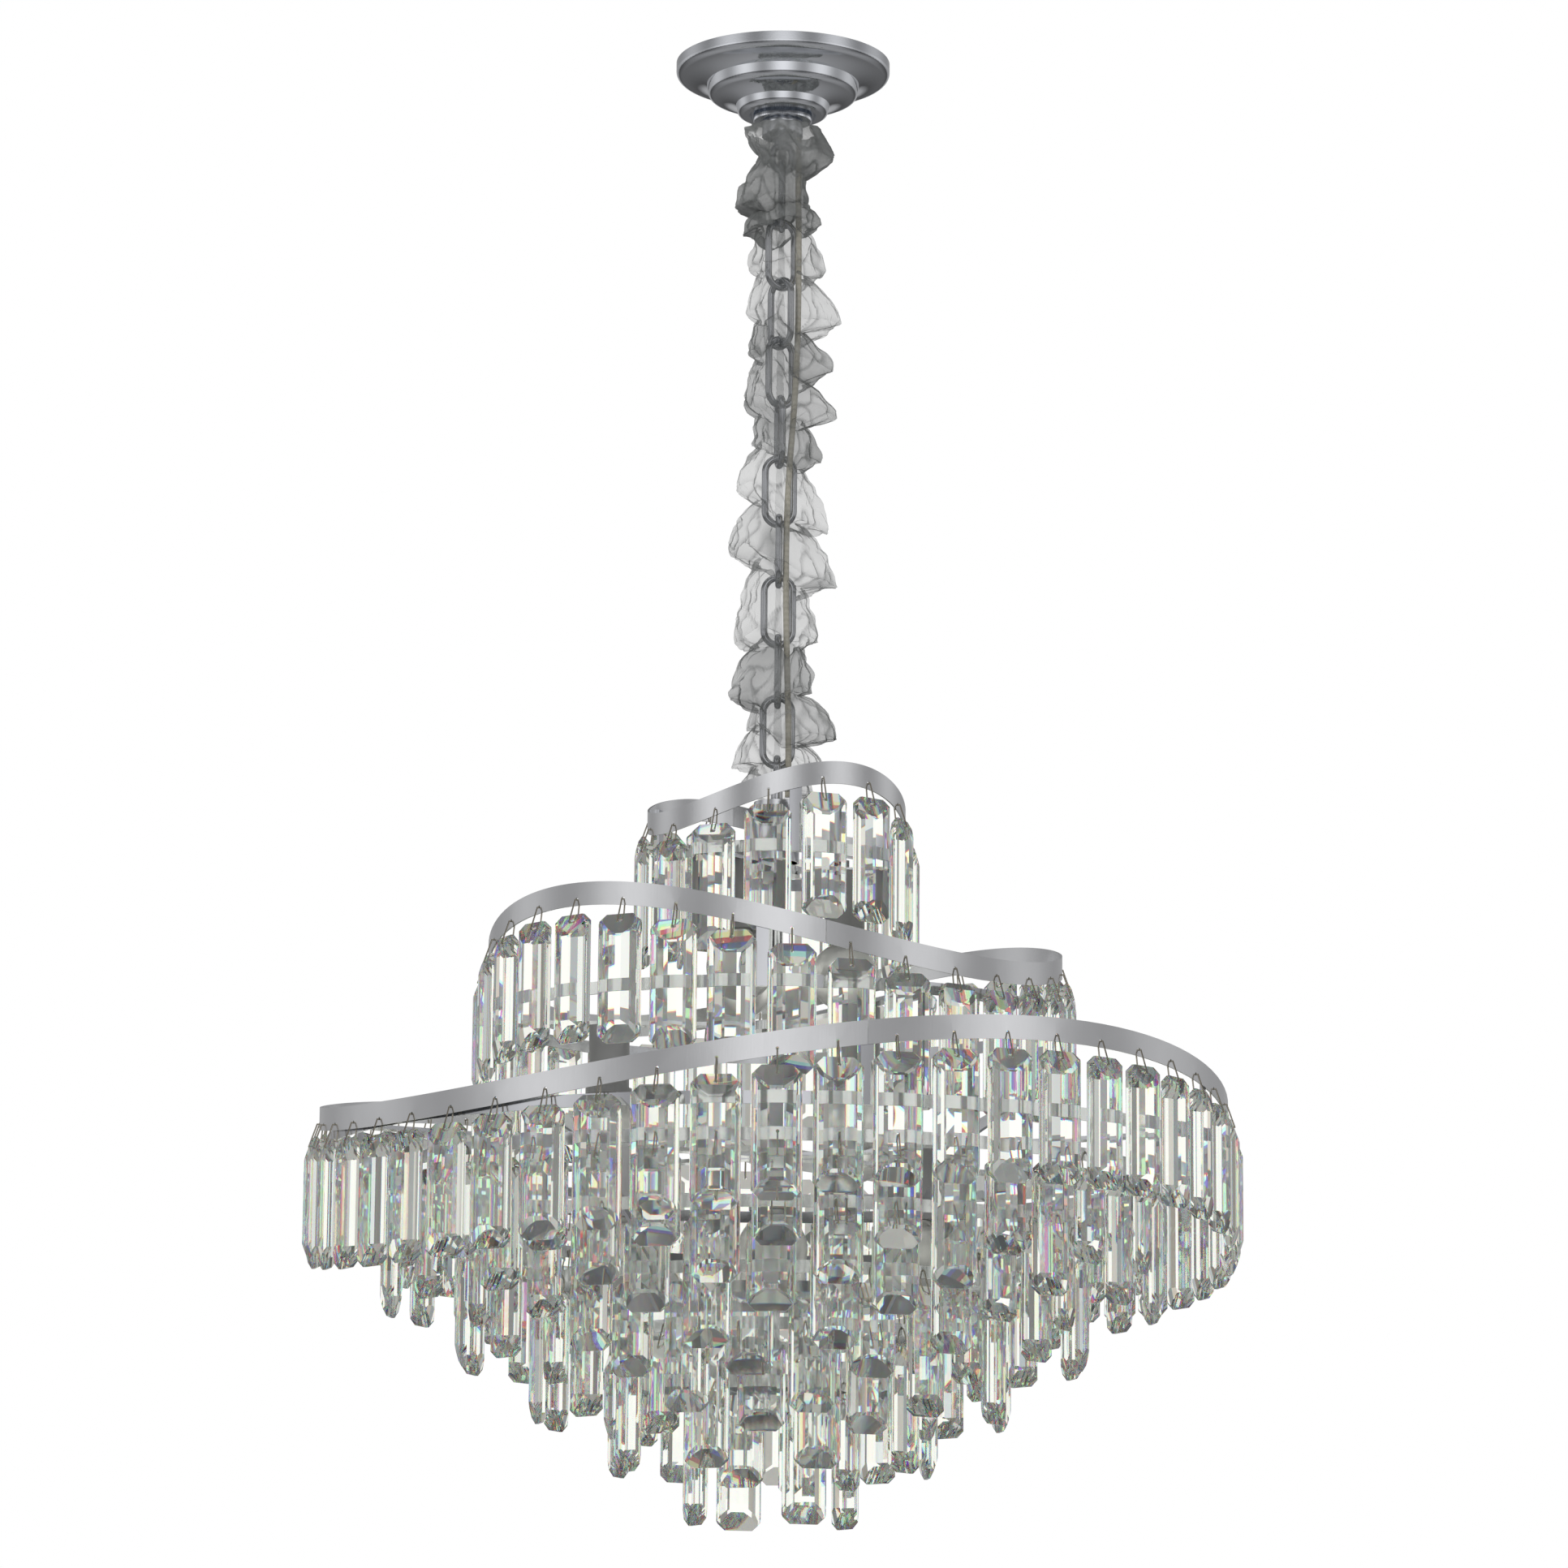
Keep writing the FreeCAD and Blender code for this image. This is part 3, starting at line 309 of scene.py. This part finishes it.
def cut_glass(name, tint, ior, split):
    """Clear cut crystal glass. Where the camera's ray first meets a drop, a share of what it sees
    is split into red, green and blue, which bend a little differently, as in a prism."""
    material, nodes = new_material(name)
    cloud = grain(nodes, GLASS_CLOUD)
    colour = ramp(nodes, cloud, shade(tint, GLASS_TONE), tint)
    clear = nodes.add("ShaderNodeBsdfGlass", Color=colour, Roughness=0.0,
                      IOR=ior).outputs["BSDF"]
    colours = []
    for k in range(3):
        only = tuple(3.0 * tint[k] if i == k else 0.0 for i in range(3))
        glass = nodes.add("ShaderNodeBsdfGlass", Color=(*only, 1.0), Roughness=0.0,
                          IOR=ior + split * (k - 1))
        colours.append(glass.outputs["BSDF"])
    red, green, blue = colours
    two = nodes.add("ShaderNodeMixShader", Fac=1 / 2, in_1=red, in_2=green).outputs["Shader"]
    three = nodes.add("ShaderNodeMixShader", Fac=1 / 3, in_1=two, in_2=blue).outputs["Shader"]
    first = nodes.add("ShaderNodeLightPath").outputs["Is Camera Ray"]
    share = nodes.add("ShaderNodeMath", {"operation": "MULTIPLY"}, in_0=first,
                      in_1=SPLIT_SHARE).outputs["Value"]
    surface = nodes.add("ShaderNodeMixShader", Fac=share, in_1=clear, in_2=three)
    nodes.add("ShaderNodeOutputMaterial", Surface=surface.outputs["Shader"])
    return material


def bulb_glass():
    """Clear bulb glass with a light inner frosting."""
    material, nodes = new_material("bulb_glass")
    cloud = grain(nodes, BULB_CLOUD)
    surface = nodes.add(
        "ShaderNodeBsdfPrincipled",
        Base_Color=ramp(nodes, cloud, (0.93, 0.93, 0.90), (0.97, 0.97, 0.95)),
        Roughness=spread(nodes, cloud, 0.25, 0.35),
        Transmission_Weight=0.85,
        IOR=1.45,
    )
    nodes.add("ShaderNodeOutputMaterial", Surface=surface.outputs["BSDF"])
    return material


def cable_jacket():
    """A clear jacket over tinned and copper wires, which show through as twisted strands."""
    material, nodes = new_material("cable_jacket")
    place = nodes.add("ShaderNodeTexCoord").outputs["Object"]
    tilt = nodes.add("ShaderNodeMapping", Vector=place, Rotation=STRAND_TILT)
    lay = nodes.add("ShaderNodeTexWave", {"bands_direction": "Z"}, Scale=STRAND_LAY,
                    Distortion=0.6, Vector=tilt.outputs["Vector"])
    surface = nodes.add(
        "ShaderNodeBsdfPrincipled",
        Base_Color=ramp(nodes, lay.outputs["Fac"], (0.32, 0.30, 0.24), (0.36, 0.34, 0.28)),
        Roughness=0.22,
        Coat_Weight=0.6,
        Coat_Roughness=0.08,
        Normal=bump(nodes, lay.outputs["Fac"], 0.08, 0.0002),
    )
    nodes.add("ShaderNodeOutputMaterial", Surface=surface.outputs["BSDF"])
    return material


def organza():
    """Thin woven gauze: fine threads with open space between them."""
    material, nodes = new_material("organza")
    place = nodes.add("ShaderNodeUVMap", {"uv_map": "cloth"}).outputs["UV"]
    threads = []
    for direction in ("X", "Y"):
        wave = nodes.add("ShaderNodeTexWave", {"bands_direction": direction}, Vector=place,
                         Scale=THREADS, Distortion=0.4, Detail=1.0)
        threads.append(wave.outputs["Fac"])
    weave = nodes.add("ShaderNodeMath", {"operation": "MAXIMUM"}, in_0=threads[0],
                      in_1=threads[1]).outputs["Value"]
    # This attribute holds how closely the threads lie, with painted shade added along the gathers'
    # edges and in the creases.
    bunch_and_shade = nodes.add("ShaderNodeAttribute", {"attribute_name": "cover_and_shade"}).outputs["Fac"]
    cover_and_shade = nodes.add("ShaderNodeMath", {"operation": "ADD", "use_clamp": True},
                      in_0=bunch_and_shade, in_1=spread(nodes, weave, *WEAVE_COVER)).outputs["Value"]
    cloud = grain(nodes, CLOTH_CLOUD)
    colour = ramp(nodes, cloud, (0.160, 0.168, 0.164), (0.225, 0.233, 0.229))
    front = nodes.add("ShaderNodeBsdfDiffuse", Color=colour).outputs["BSDF"]
    back = nodes.add("ShaderNodeBsdfTranslucent", Color=colour).outputs["BSDF"]
    gloss = nodes.add("ShaderNodeBsdfGlossy", Color=(0.6, 0.6, 0.62, 1.0),
                      Roughness=0.4).outputs["BSDF"]
    dull = nodes.add("ShaderNodeMixShader", Fac=LIGHT_THROUGH, in_1=front,
                     in_2=back).outputs["Shader"]
    thread = nodes.add("ShaderNodeMixShader", Fac=THREAD_SHEEN, in_1=dull,
                       in_2=gloss).outputs["Shader"]
    clear = nodes.add("ShaderNodeBsdfTransparent").outputs["BSDF"]
    cloth = nodes.add("ShaderNodeMixShader", Fac=cover_and_shade, in_1=clear, in_2=thread)
    nodes.add("ShaderNodeOutputMaterial", Surface=cloth.outputs["Shader"])
    return material


def dress_nodes():
    """Gives every construction node that stays in view its finished surface."""
    looks = {
        "canopy_chrome": plated("canopy_chrome", (0.80, 0.82, 0.85), 0.04),
        "chain_chrome": plated("chain_chrome", (0.62, 0.63, 0.65), 0.10),
        "centre_chrome": plated("centre_chrome", (0.70, 0.71, 0.73), 0.08),
        "band_steel": plated("band_steel", (0.78, 0.785, 0.79), 0.16, (1.0, 1.0, 0.08)),
        "frame_steel": plated("frame_steel", (0.66, 0.67, 0.69), 0.10),
        "bracket_zinc": plated("bracket_zinc", (0.60, 0.60, 0.57), 0.30, dulling=0.15),
        "hook_wire": plated("hook_wire", (0.50, 0.46, 0.38), 0.16),
        "crystal": cut_glass("crystal", (0.975, 0.980, 0.972), 1.52, 0.020),
        "bulb_glass": bulb_glass(),
        "bulb_cap": plated("bulb_cap", (0.75, 0.75, 0.73), 0.25),
        "holder_plastic": plastic("holder_plastic", (0.30, 0.30, 0.30), 0.35),
        "terminal_plastic": plastic("terminal_plastic", (0.85, 0.85, 0.80), 0.45),
    }
    slots = {part["node"]: part["material_slot"] for part in frame["record"]["subparts"]}
    for name, node in NODES.items():
        if slots[name] in looks:
            node.data.materials.clear()
            node.data.materials.append(looks[slots[name]])


# ================================================================ camera, light, floor
def place_camera():
    data = bpy.data.cameras.new("camera")
    data.sensor_width = SENSOR
    data.lens = FOCAL
    camera = bpy.data.objects.new("camera", data)
    bpy.context.scene.collection.objects.link(camera)
    turn = Matrix.Rotation(math.pi / 2 + CAMERA_PITCH, 4, "X")
    camera.matrix_world = Matrix.Translation(CAMERA_AT) @ turn @ Matrix.Rotation(
        CAMERA_ROLL, 4, "Z")
    bpy.context.scene.camera = camera


def sky(nodes, height, stops, tone):
    """Levels by height of view, from straight down (0) to straight up (1), in one tone."""
    wall = nodes.add("ShaderNodeValToRGB", Fac=height)
    ramp_stops = wall.color_ramp.elements
    for element, (at, _) in zip(ramp_stops, (stops[0], stops[-1])):
        element.position = at
    for at, _ in stops[1:-1]:
        ramp_stops.new(at)
    for element, (_, level) in zip(ramp_stops, stops):
        element.color = (*(level * c for c in tone), 1.0)
    return wall.outputs["Color"]


def panels(nodes, way, boxes):
    """Bright and dim upright panels all round, as a factor on what is seen."""
    level, waves = boxes
    parts = nodes.add("ShaderNodeSeparateXYZ", Vector=way)
    turn = nodes.add("ShaderNodeMath", {"operation": "ARCTAN2"}, in_0=parts.outputs["X"],
                     in_1=parts.outputs["Y"]).outputs["Value"]
    total = level
    for count, phase, share in waves:
        angle = nodes.add("ShaderNodeMath", {"operation": "MULTIPLY_ADD"}, in_0=turn,
                          in_1=float(count), in_2=phase).outputs["Value"]
        wave = nodes.add("ShaderNodeMath", {"operation": "COSINE"}, in_0=angle).outputs["Value"]
        total = nodes.add("ShaderNodeMath", {"operation": "MULTIPLY_ADD"}, in_0=wave,
                          in_1=share, in_2=total).outputs["Value"]
    return nodes.add("ShaderNodeMath", {"operation": "MINIMUM"}, in_0=total,
                     in_1=1.0).outputs["Value"]


def evened(nodes, height, level):
    """The level of the panels, but one even level steeply up or down."""
    slope = nodes.add("ShaderNodeMath", {"operation": "SUBTRACT"}, in_0=height, in_1=0.5)
    size = nodes.add("ShaderNodeMath", {"operation": "ABSOLUTE"}, in_0=slope.outputs["Value"])
    steep = nodes.add("ShaderNodeMapRange", Value=size.outputs["Value"], From_Min=STEEP_FROM,
                      From_Max=STEEP_TO).outputs["Result"]
    return nodes.add("ShaderNodeMix", {"data_type": "FLOAT"}, in_0=steep, in_2=level,
                     in_3=STEEP_LEVEL).outputs[0]


def make_world():
    """White to the camera. Glass and metal each see their own soft panels, brighter at some
    heights of view than at others."""
    world = bpy.data.worlds.new("studio")
    world.use_nodes = True
    bpy.context.scene.world = world
    nodes = Nodes(world.node_tree)
    way = nodes.add("ShaderNodeTexCoord").outputs["Generated"]
    parts = nodes.add("ShaderNodeSeparateXYZ", Vector=way)
    height = nodes.add("ShaderNodeMapRange", Value=parts.outputs["Z"], From_Min=-1.0,
                       From_Max=1.0).outputs["Result"]
    light = nodes.add("ShaderNodeLightPath")
    plain = nodes.add("ShaderNodeBackground", Color=(1.0, 1.0, 1.0, 1.0), Strength=DULL_LEVEL)
    through = nodes.add("ShaderNodeBackground", Color=sky(nodes, height, SKY_THROUGH_GLASS, WARM),
                        Strength=panels(nodes, way, GLASS_PANELS))
    mirrored = nodes.add("ShaderNodeBackground", Color=sky(nodes, height, SKY_IN_METAL, COOL),
                         Strength=evened(nodes, height, panels(nodes, way, METAL_PANELS)))
    white = nodes.add("ShaderNodeBackground", Color=(1.0, 1.0, 1.0, 1.0), Strength=1.0)
    shown = plain.outputs["Background"]
    for ray, seen in (("Is Glossy Ray", mirrored), ("Is Transmission Ray", through),
                      ("Is Camera Ray", white)):
        shown = nodes.add("ShaderNodeMixShader", Fac=light.outputs[ray], in_1=shown,
                          in_2=seen.outputs["Background"]).outputs["Shader"]
    nodes.add("ShaderNodeOutputWorld", Surface=shown)


def area_light(name, at, size, power):
    """A soft light that itself is seen neither directly nor in glass or metal."""
    data = bpy.data.lights.new(name, "AREA")
    data.shape = "RECTANGLE"
    data.size, data.size_y = size
    data.energy = power
    lamp = bpy.data.objects.new(name, data)
    bpy.context.scene.collection.objects.link(lamp)
    way = Vector(LIGHTS_AIM) - Vector(at)
    lamp.matrix_world = Matrix.Translation(at) @ way.to_track_quat("-Z", "Y").to_matrix().to_4x4()
    lamp.visible_camera = False
    lamp.visible_glossy = False
    lamp.visible_transmission = False


def make_floor():
    """A pale floor under the lamp. Glass and metal don't show it."""
    mesh = bpy.data.meshes.new("floor")
    corners = [(FLOOR_R * math.cos(math.radians(a)), FLOOR_R * math.sin(math.radians(a)),
                FLOOR_LEVEL) for a in range(0, 360, FLOOR_STEP)]
    mesh.from_pydata(corners, [], [range(len(corners))])
    floor = bpy.data.objects.new("floor", mesh)
    bpy.context.scene.collection.objects.link(floor)
    floor.visible_glossy = False
    floor.visible_transmission = False
    material, nodes = new_material("floor")
    cloud = grain(nodes, FLOOR_CLOUD)
    surface = nodes.add("ShaderNodeBsdfDiffuse",
                        Color=ramp(nodes, cloud, (0.86, 0.86, 0.86), (0.90, 0.90, 0.90)))
    nodes.add("ShaderNodeOutputMaterial", Surface=surface.outputs["BSDF"])
    mesh.materials.append(material)


# ================================================================ cable
def make_cable():
    data = bpy.data.curves.new("cable", "CURVE")
    data.dimensions = "3D"
    data.bevel_depth = CABLE_R
    data.bevel_resolution = 6
    data.use_fill_caps = True
    spline = data.splines.new("NURBS")
    spline.points.add(len(CABLE_ROUTE) - 1)
    for point, place in zip(spline.points, CABLE_ROUTE):
        point.co = (*place, 1.0)
    spline.order_u = 3
    spline.use_endpoint_u = True
    cable = bpy.data.objects.new("cable", data)
    bpy.context.scene.collection.objects.link(cable)
    data.materials.append(cable_jacket())
    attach(cable, "chain")
    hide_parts("supply_cable")


# ================================================================ chain sleeve
def cable_at(z):
    """Where the cable's centre line is at a height, in millimetres."""
    level = z * MM
    for upper, lower in zip(CABLE_ROUTE, CABLE_ROUTE[1:]):
        if level >= lower[2]:
            t = min(1.0, (upper[2] - level) / (upper[2] - lower[2]))
            return [(a + (b - a) * t) / MM for a, b in zip(upper[:2], lower[:2])]
    return [c / MM for c in CABLE_ROUTE[-1][:2]]


def clearance(z):
    """Least distance from the chain's axis: more beside the loop, and most beside the collar."""
    beside_collar = min(1.0, max(0.0, (z - COLLAR_LEFT_AT) / CLEAR_EASE))
    beside_loop = min(1.0, max(0.0, (z - LOOP_LEFT_AT) / CLEAR_EASE))
    least = LINK_CLEAR + (LOOP_CLEAR - LINK_CLEAR) * beside_loop
    return least + (COLLAR_CLEAR - LOOP_CLEAR) * beside_collar


def kept_clear(x, y, z):
    """The point, moved out where it would come too near the chain, the collar, the loop or
    the cable."""
    reach = math.hypot(x, y)
    least = clearance(z)
    if reach < least:
        x, y = x * least / reach, y * least / reach
    cable_x, cable_y = cable_at(z)
    out_x, out_y = x - cable_x, y - cable_y
    near = math.hypot(out_x, out_y)
    along = (out_x * cable_x + out_y * cable_y) / math.hypot(cable_x, cable_y)
    behind = along < 0.0 and near < 2 * CABLE_CLEAR and reach < BEHIND_CABLE
    if near < CABLE_CLEAR or behind:
        angle = math.atan2(y, x)
        return PAST_CABLE * math.cos(angle), PAST_CABLE * math.sin(angle)
    return x, y


def mixed(left, right, angle):
    """From the left value to the right one, smoothly round the sleeve."""
    share = 0.5 + 0.5 * math.cos(angle)
    return left + (right - left) * share * share * (3.0 - 2.0 * share)


def ring_place(angle, radius, level):
    """A place in the noise that comes back to itself after a full turn."""
    return Vector((radius * math.cos(angle), radius * math.sin(angle), level))


def lane_noise(order, across, lane):
    """Noise that changes from gather to gather and with across, in a lane of its own."""
    step, level = lane
    return noise.noise(Vector((order * step, across, level)))


def flutes(order, angle):
    """Sharp upright folds round a gather, about 0."""
    total = 0.0
    for count, share in FLUTES:
        drift = FLUTE_DRIFT * lane_noise(order, count, FLUTE_NOISE)
        total += share * (FLUTE_RISE - abs(math.sin((angle + drift) * count / 2.0)))
    return total


def swayed(order, angle, size, read_at):
    """How far a gather is up or down at the front and the back: not at all at the sides or
    at the sleeve's lower end, which keeps clear of the cup."""
    if order == len(GATHERS) - 1:
        return 0.0
    radius, step = read_at
    return size * noise.noise(ring_place(angle, radius, order * step)) * math.sin(angle) ** 2


def edge_of(order, angle):
    """Height and reach of a gather's edge. Order -1 is the sleeve's own top edge."""
    if order < 0:
        return SLEEVE_TOP, TOP_REACH
    (left_z, left_reach, _), (right_z, right_reach, _) = GATHERS[order]
    z = mixed(left_z, right_z, angle) + swayed(order, angle, SIDE_SWAY, EDGE_NOISE)
    return z, mixed(left_reach, right_reach, angle)


def crease(angle, z, order):
    """Sharp slanting creases, 1 on their lines and 0 a little way off."""
    lean = Vector((0.0, 0.0, CREASE_LEAN * math.sin(angle + order)))
    level = noise.noise(ring_place(angle, CREASE_AROUND, z / CREASE_HEIGHT) + lean)
    return max(0.0, 1.0 - CREASE_NARROWNESS * abs(level))


def pleats(angle, z):
    """Fine upright pleats where the cloth is drawn in, from -1 to 1."""
    drift = PLEAT_DRIFT * noise.noise(Vector((*PLEAT_LANE, z / PLEAT_HEIGHT)))
    return math.cos(PLEAT_COUNT * angle + drift)


def tuck_of(order, angle):
    """How far the cloth goes back up under a gather's edge, or down from it where below 0."""
    left, right = GATHERS[order]
    return mixed(left[2], right[2], angle) + swayed(order, angle, TUCK_SWAY, TUCK_NOISE)


def crest_of(order, angle):
    """Share of a gather's cloth that lies above its edge."""
    return CREST + CREST_SPREAD * lane_noise(order, math.cos(angle), CREST_NOISE)


def profile(order, down, angle):
    """How far out, from 0 at a waist to 1 at the edge, and how far on from the edge to the
    waist under it."""
    crest = crest_of(order, angle)
    if down < crest:
        fullness = FULLNESS + lane_noise(order, math.cos(angle), FULLNESS_NOISE)
        return math.sin(math.pi / 2 * down / crest) ** max(LEAST_FULLNESS, fullness), 0.0
    rise = (1.0 - down) / (1.0 - crest)
    return math.sin(math.pi / 2 * rise) ** UNDER_FULLNESS, (1.0 - rise) ** UNDER_BEND


def threads_and_shade(order, down, angle, out, crossing):
    """How closely the threads lie where the cloth is gathered close, creased or wrapped, and
    painted shade along each gather's edge and in the creases.
    """
    step, across, along = COVER_NOISE
    place = Vector((order * step, math.cos(angle) * across, math.sin(angle) + along * down))
    cloud = 0.5 + COVER_CLOUD * noise.noise(place)
    bunch = BUNCHED[order] * (COVER_EVEN + COVER_CHANGING * cloud)
    # Painted shade: a dark line along each gather's outer edge, where the cloth folds back.
    edge = max(0.0, 1.0 - abs(down - crest_of(order, angle)) * EDGE_NARROWNESS)
    drawn_in = WAIST_COVER * (1.0 - out) ** 2
    # The crease term is partly the real cover of doubled cloth and partly painted shade.
    return bunch + drawn_in + EDGE_SHADE * edge + CREASE_COVER_AND_SHADE * crossing ** 2


def cloth_point(turn, order, down):
    """A point of the gathered cloth, and how closely its threads lie there, with painted shade
    along the gathers' edges and in the creases. It is found from the turn round the sleeve, the
    gather and the way down that gather, both 0 to 1."""
    angle = SEAM_AT + (2.0 * math.pi + SEAM_LAP) * (turn - 0.5) + math.pi
    upper, _ = edge_of(order - 1, angle)
    lower, reach = edge_of(order, angle)
    out, under = profile(order, down, angle)
    crest = crest_of(order, angle)
    if down < crest:
        start = upper + (tuck_of(order - 1, angle) if order else 0.0)
        z = start + (lower - start) * down / crest
        waist = WAIST if order else TOP_REACH
    else:
        z = lower + tuck_of(order, angle) * under
        waist = WAIST
    fold = flutes(order + FLUTE_CHANGE * down, angle + FLUTE_TWIST * down)
    crossing = crease(angle, z, order)
    stand = waist + (reach - waist) * out
    stand *= 1.0 + fold * (FLUTES_AT_WAIST + (1.0 - FLUTES_AT_WAIST) * out)
    wrinkled = ring_place(angle, WRINKLE_AROUND, z / WRINKLE_HEIGHT + order)
    stand += WRINKLE * noise.noise(wrinkled) + SEAM_STEP * (turn - 0.5)
    stand += PLEAT_DEPTH * pleats(angle, z) * (1.0 - out)
    stand -= CREASE_DEPTH * crossing * (CREASES_AT_WAIST + CREASES_AT_EDGE * out)
    z -= FLUTE_DROOP * fold * out
    x, y = kept_clear(stand * math.cos(angle), stand * math.sin(angle), z)
    return (x * MM, y * MM, z * MM), threads_and_shade(order, down, angle, out, crossing)


def tube_mesh(name):
    """The gathered tube before the cloth is let out, laid along its threads in its UV."""
    mesh = bpy.data.meshes.new(name)
    wide = AROUND + 1
    rows = [(order, k / ROWS) for order in range(len(GATHERS)) for k in range(ROWS)]
    rows.append((len(GATHERS) - 1, 1.0))
    found = [cloth_point(k / AROUND, order, down) for order, down in rows for k in range(wide)]
    faces = []
    for row in range(len(rows) - 1):
        for k in range(AROUND):
            a = row * wide + k
            faces.append((a, a + wide, a + wide + 1, a + 1))
    mesh.from_pydata([place for place, _ in found], [], faces)
    # Per point: how closely the threads lie, with painted shade along the gathers' edges and in
    # the creases.
    cover_and_shade = mesh.attributes.new(name="cover_and_shade", type="FLOAT", domain="POINT")
    cover_and_shade.data.foreach_set("value", [closeness_and_shade for _, closeness_and_shade in found])
    threads = mesh.uv_layers.new(name="cloth")
    for face in mesh.polygons:
        row, k = divmod(face.index, AROUND)
        corners = ((k, row), (k, row + 1), (k + 1, row + 1), (k + 1, row))
        for loop, (u, v) in zip(face.loop_indices, corners):
            threads.data[loop].uv = (SLEEVE_FLAT[0] * u / AROUND,
                                     SLEEVE_FLAT[1] * v / (len(rows) - 1))
    return mesh


def let_out(sleeve):
    """Cloth that grows a little where it is held buckles into its own fine folds."""
    held = sleeve.vertex_groups.new(name="held")
    every = range(len(sleeve.data.vertices))
    held.add(list(every), CLOTH_HOLD, "REPLACE")
    fast = FAST_ROWS * (AROUND + 1)
    ends = [k for k in every if k < fast or k >= len(every) - fast]
    held.add(ends, 1.0, "REPLACE")
    cloth = sleeve.modifiers.new("cloth", "CLOTH")
    settings = cloth.settings
    settings.quality = 5
    settings.mass = 0.05
    settings.tension_stiffness = 12.0
    settings.compression_stiffness = 12.0
    settings.shear_stiffness = 3.0
    settings.bending_stiffness = 0.02
    settings.vertex_group_mass = "held"
    settings.shrink_min = -CLOTH_GROWTH
    settings.effector_weights.gravity = 0.0
    cloth.collision_settings.use_collision = False
    cloth.point_cache.frame_start = 1
    cloth.point_cache.frame_end = CLOTH_FRAMES
    for step in range(1, CLOTH_FRAMES + 1):
        bpy.context.scene.frame_set(step)
    shaped = bpy.data.meshes.new_from_object(
        sleeve.evaluated_get(bpy.context.evaluated_depsgraph_get()))
    sleeve.modifiers.clear()
    sleeve.data = shaped
    bpy.context.scene.frame_set(1)


def settle(sleeve):
    """Moves back out what the letting out brought too near."""
    for vertex in sleeve.data.vertices:
        x, y, z = vertex.co / MM
        x, y = kept_clear(x, y, z)
        vertex.co = Vector((x, y, z)) * MM


def make_sleeve():
    sleeve = bpy.data.objects.new("sleeve_cloth", tube_mesh("sleeve_cloth"))
    bpy.context.scene.collection.objects.link(sleeve)
    let_out(sleeve)
    settle(sleeve)
    sleeve.data.materials.append(organza())
    sleeve.data.polygons.foreach_set("use_smooth", [True] * len(sleeve.data.polygons))
    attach(sleeve, "chain")
    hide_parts("chain_sleeve")


# ================================================================ the scene
def let_light_through():
    """Enough passes for light to come out of many drops, one behind the other."""
    cycles = bpy.context.scene.cycles
    cycles.max_bounces = 40
    cycles.transmission_bounces = 40
    cycles.glossy_bounces = 16
    cycles.transparent_max_bounces = 48


place_camera()
make_world()
for light in LIGHTS:
    area_light(*light)
make_floor()
dress_nodes()
make_cable()
make_sleeve()
let_light_through()
bpy.context.scene.view_settings.view_transform = "Standard"
